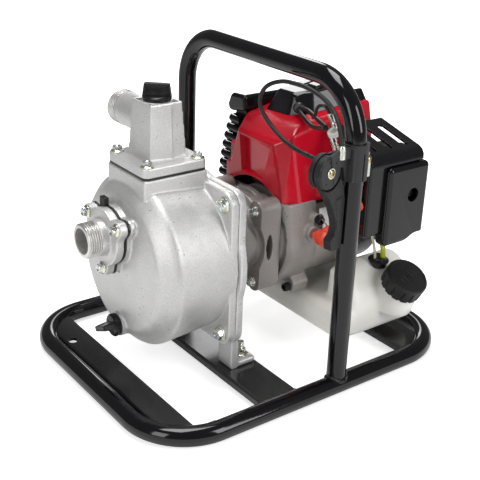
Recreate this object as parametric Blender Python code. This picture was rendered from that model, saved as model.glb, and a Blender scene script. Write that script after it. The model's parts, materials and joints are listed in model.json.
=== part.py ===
"""Portable fire pump: a self-priming centrifugal pump on a tubular carrying frame,
driven by a small air-cooled two-stroke engine with a recoil starter.

+X runs from the pump inlet to the starter, +Y to the muffler side, +Z up.
The origin is the floor point under the middle of the base loop.
Lengths are written in millimetres, and the helpers turn them into Blender's metres.
"""

import math

import bmesh
import bpy
from mathutils import Matrix, Quaternion, Vector

MM = 0.001
GAP = 0.3
MERGE = 1e-6
RUNNING_CLEARANCE = 0.15

# Carrying frame
TUBE_RADIUS = 9.5
LOOP_LENGTH = 353.5
LOOP_WIDTH = 270.8
LOOP_CORNER = 59.0
HOOP_X = 20.7
HOOP_WIDTH = 266.6
HOOP_TOP = 305.0
HOOP_BEND = 53.0
STRIP_TOP = 14.0
STRIP_THICKNESS = 3.0
STRIP_LIP = 8.0

# Shaft line shared by the pump and the engine
AXIS_Y = 8.0
AXIS_Z = 122.0

# Pump
BODY_RADIUS = 85.0
BODY_WALL = 4.5
BODY_FRONT = -138.5
BODY_REAR = -56.3
FLANGE_HALF = 78.5
FLANGE_CORNER = 13.0
BOLT_OFFSET = 66.4
PLATE_FRONT = -56.0
PLATE_REAR = -47.5
PIPE_RADIUS = 16.62
PIPE_BORE = 12.5
INLET_Z = 153.5
INLET_END = -176.0
PORT_X = -95.0
PORT_HALF = 34.0
NECK_TOP = 212.5
TOWER_TOP = 275.0
OUTLET_Z = 254.0
OUTLET_END = 72.5
DRAIN_Z = 58.0
SHAFT_RADIUS = 6.0

# Engine
COUPLING_FRONT = -20.0
FAN_FRONT = 19.0
FAN_REAR = 62.0
CRANKCASE_REAR = 106.0
CYLINDER_X = 85.0
DECK_Z = 157.0
CRANK_THROW = 16.0
ROD_LENGTH = 60.0
PISTON_RADIUS = 19.7
BORE_RADIUS = 20.0
WEB_RADIUS = 27.5
ROD_SWEEP_RADIUS = 32.6
ROD_WIDTH = 7.0
JOURNAL_RADIUS = 7.5
BEARING_RADIUS = 16.0
HEAD_TOP = 222.0
PISTON_PIN_Z = AXIS_Z + CRANK_THROW + ROD_LENGTH
STARTER_REAR = 162.0
DRUM_X = 148.0
DRUM_RADIUS = 17.0
ROPE_RADIUS = 1.75
ROPE_Y = AXIS_Y + DRUM_RADIUS + ROPE_RADIUS + 0.2

# Controls on the handle leg
LEVER_HUB = (-14.4, -137.4, 234.5)
LEVER_TURN = math.radians(12.0)
LEVER_RADIUS = 15.5
CLAMP_RADIUS = 11.5
CAP_TOP = (131.0, -113.0, 88.0)
CAP_TILT = math.radians(30.0)
CAP_SEAT = 5.0
CAP_RADIUS = 22.3
CAP_DEPTH = 17.0
CAP_WALL = 4.3
NECK_RADIUS = 17.3
NECK_BORE = 14.0
NECK_LENGTH = 35.0
CHOKE_Y = -97.0
STOP_X = 49.5
STOP_Z = 132.5

# Finishes: base colour, roughness, metallic
FINISHES = {
    "black enamel": ((0.012, 0.012, 0.013), 0.18, 0.0),
    "cast aluminium": ((0.60, 0.60, 0.60), 0.42, 0.85),
    "engine casting": ((0.40, 0.37, 0.35), 0.50, 0.80),
    "zinc steel": ((0.62, 0.64, 0.60), 0.30, 1.0),
    "machined steel": ((0.55, 0.55, 0.56), 0.28, 1.0),
    "bronze": ((0.42, 0.27, 0.12), 0.40, 1.0),
    "black rubber": ((0.015, 0.015, 0.015), 0.75, 0.0),
    "black plastic": ((0.020, 0.020, 0.021), 0.45, 0.0),
    "red plastic": ((0.42, 0.008, 0.022), 0.22, 0.0),
    "orange rubber": ((0.85, 0.09, 0.03), 0.50, 0.0),
    "milky plastic": ((0.80, 0.78, 0.72), 0.35, 0.0),
    "yellow hose": ((0.70, 0.72, 0.03), 0.35, 0.0),
    "white ceramic": ((0.85, 0.85, 0.83), 0.25, 0.0),
    "cord": ((0.05, 0.05, 0.05), 0.80, 0.0),
}


# ---------------------------------------------------------------- helpers

def clear_scene():
    for obj in list(bpy.data.objects):
        bpy.data.objects.remove(obj, do_unlink=True)


def to_object(bm):
    """Turn a finished bmesh into an object with its faces pointing out."""
    bmesh.ops.recalc_face_normals(bm, faces=bm.faces[:])
    mesh = bpy.data.meshes.new("solid")
    bm.to_mesh(mesh)
    bm.free()
    obj = bpy.data.objects.new("solid", mesh)
    bpy.context.scene.collection.objects.link(obj)
    return obj


def block(x, y, z, bevel=0.0, segments=1):
    """A box between three (low, high) pairs, with its edges rounded by bevel."""
    bm = bmesh.new()
    bmesh.ops.create_cube(bm, size=1.0)
    for vert in bm.verts:
        for i, (low, high) in enumerate((x, y, z)):
            vert.co[i] = (high if vert.co[i] > 0 else low) * MM
    if bevel:
        bmesh.ops.bevel(bm, geom=bm.edges[:], offset=bevel * MM, segments=segments,
                        profile=0.5, affect='EDGES')
    return to_object(bm)


def rod(start, end, radius, end_radius=None, sides=16):
    """A cylinder or cone between two points."""
    start = Vector(start) * MM
    end = Vector(end) * MM
    along = end - start
    turn = along.to_track_quat('Z', 'Y').to_matrix().to_4x4()
    far_radius = radius if end_radius is None else end_radius
    bm = bmesh.new()
    bmesh.ops.create_cone(bm, cap_ends=True, segments=sides, radius1=radius * MM,
                          radius2=far_radius * MM, depth=along.length,
                          matrix=Matrix.Translation((start + end) / 2) @ turn)
    return to_object(bm)


def prism(outline, axis, low, high):
    """A flat outline in the plane across axis, extruded from low to high."""
    order = {"x": lambda a, b: (low, a, b), "y": lambda a, b: (a, low, b),
             "z": lambda a, b: (a, b, low)}[axis]
    step = Vector([high - low if axis == name else 0.0 for name in "xyz"]) * MM
    bm = bmesh.new()
    face = bm.faces.new([bm.verts.new(Vector(order(a, b)) * MM) for a, b in outline])
    grown = bmesh.ops.extrude_face_region(bm, geom=[face])
    moved = [item for item in grown["geom"] if isinstance(item, bmesh.types.BMVert)]
    bmesh.ops.translate(bm, verts=moved, vec=step)
    return to_object(bm)


def turned(profile, base, direction, sides=20, closed=False):
    """A profile of (distance, radius) pairs spun about the line from base along direction."""
    base = Vector(base) * MM
    axis = Vector(direction).normalized()
    side = axis.orthogonal().normalized()
    bm = bmesh.new()
    verts = [bm.verts.new(base + axis * along * MM + side * radius * MM)
             for along, radius in profile]
    pairs = list(zip(verts, verts[1:]))
    if closed:
        pairs.append((verts[-1], verts[0]))
    edges = [bm.edges.new(pair) for pair in pairs]
    bmesh.ops.spin(bm, geom=verts + edges, cent=base, axis=axis, dvec=(0, 0, 0),
                   angle=math.tau, steps=sides, use_merge=True)
    bmesh.ops.remove_doubles(bm, verts=bm.verts[:], dist=MERGE)
    return to_object(bm)


def hull(points):
    """The convex solid around a few corner points."""
    bm = bmesh.new()
    for point in points:
        bm.verts.new(Vector(point) * MM)
    bmesh.ops.convex_hull(bm, input=bm.verts[:])
    bmesh.ops.dissolve_limit(bm, angle_limit=0.01, verts=bm.verts[:], edges=bm.edges[:])
    return to_object(bm)


def soften(obj, width, segments=1):
    """Round every edge of a solid."""
    bm = bmesh.new()
    bm.from_mesh(obj.data)
    bmesh.ops.bevel(bm, geom=bm.edges[:], offset=width * MM, segments=segments,
                    profile=0.5, affect='EDGES')
    bm.to_mesh(obj.data)
    bm.free()
    return obj


def sweep(points, radius, up, sides=12, closed=False):
    """A round tube along a path, with flats square to up, just touching the round radius."""
    points = [Vector(point) * MM for point in points]
    corner = radius * MM / math.cos(math.pi / sides)
    bm = bmesh.new()
    rings = []
    for i, point in enumerate(points):
        before = points[i - 1] if i or closed else point
        after = points[(i + 1) % len(points)] if i + 1 < len(points) or closed else point
        tangent = (after - before).normalized()
        side = tangent.cross(Vector(up)).normalized()
        lift = side.cross(tangent)
        turns = [math.tau * (k + 0.5) / sides for k in range(sides)]
        rings.append([bm.verts.new(point + corner * (side * math.cos(t) + lift * math.sin(t)))
                      for t in turns])
    joins = list(zip(rings, rings[1:]))
    if closed:
        joins.append((rings[-1], rings[0]))
    else:
        bm.faces.new(rings[0])
        bm.faces.new(rings[-1])
    for ring, following in joins:
        for k in range(sides):
            nxt = (k + 1) % sides
            bm.faces.new((ring[k], ring[nxt], following[nxt], following[k]))
    return to_object(bm)


def arc_path(corners, radius, steps=6, closed=False):
    """The path through corners with each inner corner rounded to radius."""
    corners = [Vector(corner) for corner in corners]
    path = []
    for i, corner in enumerate(corners):
        if not closed and i in (0, len(corners) - 1):
            path.append(corner)
            continue
        back = (corners[i - 1] - corner).normalized()
        ahead = (corners[(i + 1) % len(corners)] - corner).normalized()
        half = back.angle(ahead) / 2
        centre = corner + (back + ahead).normalized() * radius / math.sin(half)
        first = corner + back * radius / math.tan(half) - centre
        last = corner + ahead * radius / math.tan(half) - centre
        sweep_turn = first.rotation_difference(last)
        path += [centre + Quaternion().slerp(sweep_turn, k / steps) @ first
                 for k in range(steps + 1)]
    return path


def rounded_rectangle(centre, half_a, half_b, radius, steps=3):
    """Outline of a rectangle with round corners."""
    signs = ((1, 1), (-1, 1), (-1, -1), (1, -1))
    corners = [(centre[0] + a * half_a, centre[1] + b * half_b, 0.0) for a, b in signs]
    return [(point.x, point.y) for point in arc_path(corners, radius, steps, closed=True)]


def bake(obj):
    """Replace an object's mesh by what its modifiers make of it."""
    depsgraph = bpy.context.evaluated_depsgraph_get()
    mesh = bpy.data.meshes.new_from_object(obj.evaluated_get(depsgraph))
    obj.modifiers.clear()
    obj.data = mesh


def combine(base, tools, operation):
    for tool in tools:
        modifier = base.modifiers.new(operation.lower(), 'BOOLEAN')
        modifier.operation = operation
        modifier.solver = 'EXACT'
        modifier.object = tool
    bake(base)
    for tool in tools:
        bpy.data.objects.remove(tool, do_unlink=True)
    return base


def join(base, *tools):
    return combine(base, tools, 'UNION')


def cut(base, *tools):
    return combine(base, tools, 'DIFFERENCE')


def keep_inside(base, tool):
    return combine(base, [tool], 'INTERSECT')


def material(name, finish):
    colour, roughness, metallic = FINISHES[finish]
    made = bpy.data.materials.new(f"{name} {finish}")
    made.use_nodes = True
    shader = made.node_tree.nodes["Principled BSDF"]
    shader.inputs["Base Color"].default_value = (*colour, 1.0)
    shader.inputs["Roughness"].default_value = roughness
    shader.inputs["Metallic"].default_value = metallic
    return made


def joint(name, place):
    """An empty on a joint's axis, for the pieces that move with it."""
    empty = bpy.data.objects.new(name, None)
    empty.location = Vector(place) * MM
    bpy.context.scene.collection.objects.link(empty)
    return empty


def part(name, solid, finish, mover=None):
    """Name a finished solid, give it its material and hang it on its joint."""
    solid.name = name
    solid.data.name = name
    solid.data.materials.clear()
    solid.data.materials.append(material(name, finish))
    solid.data.shade_smooth()
    solid.data.set_sharp_from_angle(angle=math.radians(32))
    if mover:
        solid.data.transform(Matrix.Translation(-mover.location))
        solid.parent = mover
    return solid


def on_axis(x, dy=0.0, dz=0.0):
    """A point at x, offset from the shaft line."""
    return (x, AXIS_Y + dy, AXIS_Z + dz)


def corners_of(offset):
    """The four diagonal places at +-offset about the shaft line."""
    return [(a * offset, b * offset) for a, b in ((-1, 1), (-1, -1), (1, -1), (1, 1))]


def along_x(x, radius, dy=0.0, dz=0.0, sides=16):
    """A cylinder along X between the two places in x."""
    return rod(on_axis(x[0], dy, dz), on_axis(x[1], dy, dz), radius, sides=sides)


# ---------------------------------------------------------------- carrying frame

def loop_path():
    """The closed centre line of the base loop."""
    half_length = LOOP_LENGTH / 2
    half_width = LOOP_WIDTH / 2
    corners = [(a * half_length, b * half_width, TUBE_RADIUS)
               for a, b in ((1, 1), (-1, 1), (-1, -1), (1, -1))]
    return arc_path(corners, LOOP_CORNER, steps=4, closed=True)


def base_loop():
    part("base_loop", sweep(loop_path(), TUBE_RADIUS, (0, 0, 1), closed=True), "black enamel")


def rail_cutter(side, radius=TUBE_RADIUS + 2 * GAP):
    y = side * LOOP_WIDTH / 2
    return rod((HOOP_X - 40, y, TUBE_RADIUS), (HOOP_X + 40, y, TUBE_RADIUS), radius, sides=32)


def hoop_tube(radius):
    half = HOOP_WIDTH / 2
    foot = TUBE_RADIUS + 4.5
    corners = [(HOOP_X, -half, foot), (HOOP_X, -half, HOOP_TOP),
               (HOOP_X, half, HOOP_TOP), (HOOP_X, half, foot)]
    return sweep(arc_path(corners, HOOP_BEND, steps=5), radius, (1, 0, 0))


def handle_hoop():
    hoop = hoop_tube(TUBE_RADIUS)
    part("handle_hoop", cut(hoop, rail_cutter(-1), rail_cutter(1)), "black enamel")


def crossbar(name, x, hole=None):
    """A flat strip with a folded front lip, cut to the inside of the base loop."""
    reach = LOOP_WIDTH / 2
    clear = TUBE_RADIUS + 2 * GAP
    under = STRIP_TOP - STRIP_THICKNESS
    strip = join(block(x, (-reach, reach), (under, STRIP_TOP)),
                 block((x[0], x[0] + STRIP_THICKNESS), (-reach, reach),
                       (STRIP_TOP - STRIP_LIP, STRIP_TOP - 1)))
    inside = rounded_rectangle((0, 0), LOOP_LENGTH / 2 - clear, LOOP_WIDTH / 2 - clear,
                               LOOP_CORNER - clear, steps=4)
    strip = keep_inside(strip, prism(inside, "z", 0, 20))
    if hole:
        strip = cut(strip, rod((*hole, 0), (*hole, 20), 4.75))
    part(name, strip, "black enamel")


# ---------------------------------------------------------------- pump

def trefoil(mean, lobe, count=30):
    """Three-lobed outline about the inlet, with lobes at 30, 150 and 270 degrees."""
    outline = []
    for k in range(count):
        turn = math.tau * k / count
        radius = mean + lobe * math.cos(3 * (turn - math.radians(30)))
        outline.append((AXIS_Y + radius * math.cos(turn), INLET_Z + radius * math.sin(turn)))
    return outline


def pump_body():
    """The barrel with its inlet boss, drain boss, outlet neck and rear flange, hollow inside."""
    outer = [(BODY_REAR, 0), (BODY_REAR, BODY_RADIUS), (-128, BODY_RADIUS),
             (-134, BODY_RADIUS - 5), (-137.5, 68), (BODY_FRONT, 58), (BODY_FRONT - 0.8, 0)]
    cavity = [(-50, 0), (-50, BODY_RADIUS - BODY_WALL), (-126, BODY_RADIUS - BODY_WALL),
              (-130, 75), (-133, 64), (BODY_FRONT + BODY_WALL, 56),
              (BODY_FRONT + BODY_WALL, 0)]
    neck_y = (AXIS_Y - PORT_HALF, AXIS_Y + PORT_HALF)
    neck_x = (PORT_X - PORT_HALF, PORT_X + PORT_HALF)
    throat = PORT_HALF - 5
    flange = prism(rounded_rectangle((AXIS_Y, AXIS_Z), FLANGE_HALF, FLANGE_HALF,
                                     FLANGE_CORNER), "x", -64, BODY_REAR)
    solid = join(turned(outer, on_axis(0), (1, 0, 0), sides=28),
                 flange,
                 block(neck_x, neck_y, (AXIS_Z + 40, NECK_TOP), 3),
                 prism(trefoil(30, 8), "x", -144.5, -120),
                 along_x((-141.5, -125), 11.5, dz=DRAIN_Z - AXIS_Z))
    solid = cut(solid,
                turned(cavity, on_axis(0), (1, 0, 0), sides=28),
                block((PORT_X - throat, PORT_X + throat),
                      (AXIS_Y - throat, AXIS_Y + throat), (AXIS_Z + 30, NECK_TOP + 9)),
                along_x((-150, -120), 18.5, dz=INLET_Z - AXIS_Z),
                along_x((-150, -120), 7.4, dz=DRAIN_Z - AXIS_Z),
                *[along_x((-70, -50), 4.4, dy, dz, sides=10)
                  for dy, dz in corners_of(BOLT_OFFSET)])
    part("pump_body", solid, "cast aluminium")


def pump_bracket():
    """The rear plate of the pump, its two feet and its boss to the engine."""
    plate = prism(rounded_rectangle((AXIS_Y, AXIS_Z), FLANGE_HALF, FLANGE_HALF,
                                    FLANGE_CORNER), "x", PLATE_FRONT, PLATE_REAR)
    pieces = [along_x((PLATE_REAR - 1, COUPLING_FRONT - GAP), 38, sides=28)]
    for side in (-1, 1):
        y = sorted((AXIS_Y + side * 50, AXIS_Y + side * 73))
        pieces.append(block((PLATE_FRONT + 0.01, PLATE_REAR - 0.01), y, (STRIP_TOP + GAP, 60)))
        pieces.append(block((PLATE_REAR - 2, -26), y, (STRIP_TOP + GAP, 20.5), 1.5))
    for dy, dz in corners_of(34):
        pieces.append(along_x((PLATE_REAR - 1, COUPLING_FRONT - GAP - 0.02), 9, dy, dz, 12))
    solid = join(plate, *pieces)
    solid = cut(solid, along_x((PLATE_REAR - 0.5, COUPLING_FRONT + 5), 30, sides=28),
                along_x((-60, -40), 13, sides=24),
                *[along_x((-60, -40), 4.4, dy, dz, sides=10)
                  for dy, dz in corners_of(BOLT_OFFSET)])
    part("pump_bracket", solid, "cast aluminium")


def body_bolts():
    for i, (dy, dz) in enumerate(corners_of(BOLT_OFFSET)):
        bolt = join(along_x((-69.8, -64.3), 7.2, dy, dz, sides=6),
                    along_x((-66, -45), 4.0, dy, dz, sides=10))
        part(f"body_bolt_{i + 1}", bolt, "zinc steel")


def volute_casing():
    """The inner spiral case that turns the impeller's flow up to the outlet."""
    wall = 3.5
    profile = [(-92, 15), (-92, 48), (-90, 50), (PLATE_FRONT - GAP, 50),
               (PLATE_FRONT - GAP, 50 - wall), (-88.5, 50 - wall), (-88.5, 15)]
    casing = turned(profile, on_axis(0), (1, 0, 0), closed=True)
    slot = block((-86, -66), (AXIS_Y + 8, AXIS_Y + 26), (AXIS_Z + 30, AXIS_Z + 60))
    part("volute_casing", cut(casing, slot), "cast aluminium")


def impeller(rotor):
    disc = turned([(-76, SHAFT_RADIUS + GAP), (-76, 12), (-67, 14), (-67, 43), (-64, 43),
                   (-64, SHAFT_RADIUS + GAP)], on_axis(0), (1, 0, 0), closed=True)
    vanes = []
    count = 6
    for k in range(count):
        vane = block((-78, -66), (AXIS_Y + 11, AXIS_Y + 42), (AXIS_Z + 4, AXIS_Z + 7))
        turn = Matrix.Rotation(math.tau * k / count, 4, 'X')
        centre = Matrix.Translation(Vector(on_axis(0)) * MM)
        vane.data.transform(centre @ turn @ centre.inverted())
        vanes.append(vane)
    part("impeller", join(disc, *vanes), "bronze", rotor)


def pump_shaft(rotor):
    profile = [(-84, 0), (-84, 4), (-82, SHAFT_RADIUS), (-17, SHAFT_RADIUS),
               (-14, 15), (12, 15), (12, 28), (18, 28), (18, 0)]
    part("pump_shaft", turned(profile, on_axis(0), (1, 0, 0), sides=24), "machined steel", rotor)


def shaft_seal():
    """The stationary face of the shaft seal, seated in the bracket plate."""
    bore = SHAFT_RADIUS + RUNNING_CLEARANCE
    profile = [(-61.5, bore), (-61.5, 16), (-56.3, 16), (-56.3, 12.6), (-48, 12.6), (-48, bore)]
    seal = turned(profile, on_axis(0), (1, 0, 0), closed=True)
    part("shaft_seal", seal, "white ceramic")


def inlet_parts():
    axis_dz = INLET_Z - AXIS_Z
    gasket = cut(join(prism(trefoil(30.4, 8), "x", -146.6, -144.8),
                      block((-146.6, -144.8), (AXIS_Y - 5, AXIS_Y + 9), (INLET_Z + 15, 189))),
                 along_x((-150, -140), PIPE_BORE, dz=axis_dz))
    part("inlet_gasket", gasket, "black rubber")
    flange = join(prism(trefoil(30, 8), "x", -155, -146.9),
                  along_x((INLET_END, -150), PIPE_RADIUS, dz=axis_dz, sides=32))
    flange = cut(flange, along_x((INLET_END - 5, -140), PIPE_BORE, dz=axis_dz, sides=32))
    part("inlet_flange", flange, "cast aluminium")


def inlet_flap_valve():
    """The rubber non-return flap behind the inlet, hinged at its top."""
    radius = 15.5
    hinge = joint("flap_hinge", (-143.2, AXIS_Y, INLET_Z + radius + 0.5))
    disc = along_x((-144.4, -142.0), radius, dz=INLET_Z - AXIS_Z, sides=28)
    part("inlet_flap_valve", disc, "black rubber", hinge)


def outlet_parts():
    half = PORT_HALF
    square = rounded_rectangle((PORT_X, AXIS_Y), half, half, 8)
    opening = rounded_rectangle((PORT_X, AXIS_Y), half - 9, half - 9, 6)
    gasket = cut(prism(square, "z", NECK_TOP + GAP, NECK_TOP + 1.6),
                 prism(opening, "z", NECK_TOP - 5, NECK_TOP + 5))
    part("outlet_gasket", gasket, "black rubber")
    foot = NECK_TOP + 1.9
    tower_low, tower_high = 19.5, 16.0
    tower = hull([(PORT_X + a * size, AXIS_Y + b * size, z)
                  for size, z in ((tower_low, foot + 4), (tower_high, TOWER_TOP))
                  for a in (-1, 1) for b in (-1, 1)])
    elbow = join(prism(square, "z", foot, foot + 8.5), soften(tower, 3),
                 rod((PORT_X, AXIS_Y, OUTLET_Z), (PORT_X, OUTLET_END, OUTLET_Z),
                     PIPE_RADIUS, sides=32))
    hollow = hull([(PORT_X + a * size, AXIS_Y + b * size, z)
                   for size, z in ((16.0, foot - 5), (13.0, TOWER_TOP - 10))
                   for a in (-1, 1) for b in (-1, 1)])
    elbow = cut(elbow, hollow,
                rod((PORT_X, AXIS_Y, OUTLET_Z), (PORT_X, OUTLET_END + 9, OUTLET_Z),
                    PIPE_BORE, sides=32),
                rod((PORT_X, AXIS_Y, OUTLET_Z), (PORT_X, AXIS_Y, TOWER_TOP + 9), 10.5))
    part("outlet_elbow", elbow, "cast aluminium")


def wing_plug(tip, direction, wing_turn, thread, head, wing):
    """A plastic plug: thread, round head and a grip wing, pointing out along direction."""
    plug = turned([(-thread[1], 0), (-thread[1], thread[0]), (0, thread[0]), (0, head[0]),
                   (head[1], head[0] - 0.8), (head[1], 0)], (0, 0, 0), (0, 0, 1), sides=16)
    grip = block((-wing[0], wing[0]), (-3.4, 3.4), (head[1] - 2, head[1] + wing[1]), 1.2)
    plug = join(plug, grip)
    turn = Vector(direction).to_track_quat('Z', 'Y').to_matrix().to_4x4()
    turn = turn @ Matrix.Rotation(wing_turn, 4, 'Z')
    plug.data.transform(Matrix.Translation(Vector(tip) * MM) @ turn)
    return plug


def ring(base, direction, inner, outer, thickness):
    profile = [(0, inner), (0, outer), (thickness, outer), (thickness, inner)]
    return turned(profile, base, direction, sides=16, closed=True)


def priming_plug():
    """The filler plug on top of the outlet, with its seal ring; it screws up and out."""
    rise = joint("priming_rise", (PORT_X, AXIS_Y, TOWER_TOP))
    spin = joint("priming_spin", (PORT_X, AXIS_Y, TOWER_TOP))
    seat = (PORT_X, AXIS_Y, TOWER_TOP + GAP)
    seal = ring(seat, (0, 0, 1), 10.4, 13, 1.6)
    part("priming_plug_seal", seal, "black rubber", rise)
    plug = wing_plug((PORT_X, AXIS_Y, TOWER_TOP + 2.2), (0, 0, 1), math.radians(35),
                     (9.9, 11), (13, 4), (12.5, 14))
    part("priming_plug", plug, "black plastic", spin)


def drain_plug():
    face = -141.5
    slide = joint("drain_draw", (face, AXIS_Y, DRAIN_Z))
    spin = joint("drain_spin", (face, AXIS_Y, DRAIN_Z))
    seal = ring((face - GAP, AXIS_Y, DRAIN_Z), (-1, 0, 0), 7.3, 11, 1.6)
    part("drain_plug_seal", seal, "black rubber", slide)
    plug = wing_plug((face - 2.2, AXIS_Y, DRAIN_Z), (-1, 0, 0), math.radians(25),
                     (6.8, 10), (11, 4), (10.5, 13))
    part("drain_plug", plug, "black plastic", spin)


# ---------------------------------------------------------------- engine

def coupling_housing():
    """The casting between pump bracket and engine, with open windows round it."""
    rear = FAN_FRONT - GAP
    shell = join(along_x((COUPLING_FRONT, rear), 47, sides=32),
                 *[along_x((-6, rear - 0.01), 9.5, dy, dz, 12) for dy, dz in corners_of(38)])
    windows = [block((-8, 8), (AXIS_Y - 60, AXIS_Y + 60), (AXIS_Z - 9, AXIS_Z + 9)),
               block((-6, 10), (AXIS_Y - 12, AXIS_Y + 12), (AXIS_Z + 20, AXIS_Z + 60))]
    shell = cut(shell, along_x((COUPLING_FRONT + 4.5, 30), 42, sides=32),
                along_x((-30, 0), 20), *windows)
    part("coupling_housing", shell, "engine casting")


def fan_outline(inset):
    """U-shaped outline of the fan housing about the shaft line."""
    radius = 60 - inset
    top = 163.0
    steps = 12
    outline = [(AXIS_Y + radius - 7, top), (AXIS_Y - radius + 7, top)]
    for k in range(steps + 1):
        turn = math.pi + math.pi * k / steps
        outline.append((AXIS_Y + radius * math.cos(turn), AXIS_Z + radius * math.sin(turn)))
    return outline


def fan_housing():
    shell = join(prism(fan_outline(0), "x", FAN_FRONT, FAN_REAR),
                 rod((STOP_X, -58.5, STOP_Z), (STOP_X, -46, STOP_Z), 6, sides=20))
    hollow = prism([(y, z + 20 if z > 160 else z) for y, z in fan_outline(3.5)],
                   "x", FAN_FRONT - 5, FAN_REAR - 4)
    shell = cut(shell, hollow, along_x((50, 70), 18),
                rod((STOP_X, -70, STOP_Z), (STOP_X, -50, STOP_Z), 3.3, sides=16))
    part("fan_housing", shell, "engine casting")


def flywheel(rotor):
    """The magneto wheel with its cooling blades."""
    wheel = turned([(25, JOURNAL_RADIUS + 0.1), (25, 16), (30, 18), (30, 46), (38, 46),
                    (38, 18), (46, 16), (46, JOURNAL_RADIUS + 0.1)],
                   on_axis(0), (1, 0, 0), sides=24, closed=True)
    blades = []
    count = 10
    for k in range(count):
        blade = block((37, 51), (AXIS_Y - 1.2, AXIS_Y + 1.2), (AXIS_Z + 24, AXIS_Z + 45))
        turn = Matrix.Rotation(math.tau * (k + 0.5) / count, 4, 'X')
        centre = Matrix.Translation(Vector(on_axis(0)) * MM)
        blade.data.transform(centre @ turn @ centre.inverted())
        blades.append(blade)
    part("flywheel", join(wheel, *blades), "engine casting", rotor)


def crankcase():
    """The case round the crank, open at the top deck and bored for the two bearings."""
    front = FAN_REAR + GAP
    mouth = ROD_WIDTH / 2 + 1.3
    chamber = WEB_RADIUS + 1.0
    case = join(along_x((front, CRANKCASE_REAR), 34.5, sides=28),
                block((front + 2, CRANKCASE_REAR - 2), (AXIS_Y - 34, AXIS_Y + 34),
                      (AXIS_Z, DECK_Z)))
    case = cut(case, along_x((CYLINDER_X - 13, CYLINDER_X + 13), chamber, sides=28),
               along_x((CYLINDER_X - mouth, CYLINDER_X + mouth), ROD_SWEEP_RADIUS, sides=28),
               along_x((50, 120), BEARING_RADIUS + 0.25, sides=24),
               block((CYLINDER_X - mouth, CYLINDER_X + mouth), (AXIS_Y - 28, AXIS_Y + 28),
                     (AXIS_Z, DECK_Z + 5)),
               rod((CYLINDER_X, AXIS_Y, AXIS_Z), (CYLINDER_X, AXIS_Y, DECK_Z + 5),
                   BORE_RADIUS + GAP, sides=24))
    part("crankcase", case, "engine casting")


def crank_bearing(name, x):
    bore = JOURNAL_RADIUS + RUNNING_CLEARANCE
    profile = [(x[0], bore), (x[0], BEARING_RADIUS), (x[1], BEARING_RADIUS), (x[1], bore)]
    bearing = turned(profile, on_axis(0), (1, 0, 0), sides=24, closed=True)
    part(name, bearing, "machined steel")


def crankshaft(rotor):
    """The two pressed-up halves of the crankshaft, each a full disc web on a journal."""
    inner = ROD_WIDTH / 2 + GAP
    outer = inner + 8
    front = [(18.3, 0), (18.3, JOURNAL_RADIUS), (CYLINDER_X - outer, JOURNAL_RADIUS),
             (CYLINDER_X - outer, WEB_RADIUS), (CYLINDER_X - inner, WEB_RADIUS),
             (CYLINDER_X - inner, 0)]
    rear = [(CYLINDER_X + inner, 0), (CYLINDER_X + inner, WEB_RADIUS),
            (CYLINDER_X + outer, WEB_RADIUS), (CYLINDER_X + outer, JOURNAL_RADIUS),
            (118, JOURNAL_RADIUS), (118, 15), (128, 15), (128, 0)]
    for name, profile in (("crankshaft_front", front), ("crankshaft_rear", rear)):
        half = turned(profile, on_axis(0), (1, 0, 0), sides=24)
        part(name, half, "machined steel", rotor)


def piston_group():
    """Piston and pin, with the connecting rod and crank pin hanging from the pin."""
    pin_place = (CYLINDER_X, AXIS_Y, PISTON_PIN_Z)
    slide = joint("piston_slide", pin_place)
    swing = joint("rod_swing", pin_place)
    at_pin = PISTON_PIN_Z - AXIS_Z
    crown = PISTON_PIN_Z + 14
    skirt = PISTON_PIN_Z - 15
    boss = ROD_WIDTH / 2 + 1.2
    column = (CYLINDER_X, AXIS_Y)
    cup = cut(rod((*column, skirt), (*column, crown), PISTON_RADIUS, sides=24),
              rod((*column, skirt - 5), (*column, crown - 4), 16.5, sides=24))
    cup = join(cup, along_x((CYLINDER_X - 17.5, CYLINDER_X - boss), 7.2, dz=at_pin),
               along_x((CYLINDER_X + boss, CYLINDER_X + 17.5), 7.2, dz=at_pin))
    cup = cut(cup, along_x((CYLINDER_X - 25, CYLINDER_X + 25), 4.5, dz=at_pin))
    part("piston", cup, "cast aluminium", slide)
    pin = along_x((CYLINDER_X - 17, CYLINDER_X + 17), 4.2, dz=at_pin)
    part("piston_pin", pin, "machined steel", slide)
    width = (CYLINDER_X - ROD_WIDTH / 2, CYLINDER_X + ROD_WIDTH / 2)
    shank_x = (CYLINDER_X - 2.2, CYLINDER_X + 2.2)
    link = join(along_x(width, 11, dz=CRANK_THROW), along_x(width, 7.5, dz=at_pin),
                block(shank_x, (AXIS_Y - 4.5, AXIS_Y + 4.5),
                      (AXIS_Z + CRANK_THROW + 4, PISTON_PIN_Z - 3)))
    link = cut(link, along_x((CYLINDER_X - 9, CYLINDER_X + 9), 6.3, dz=CRANK_THROW),
               along_x((CYLINDER_X - 9, CYLINDER_X + 9), 4.5, dz=at_pin))
    part("connecting_rod", link, "machined steel", swing)
    part("crank_pin", along_x(width, 6, dz=CRANK_THROW), "machined steel", swing)


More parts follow.
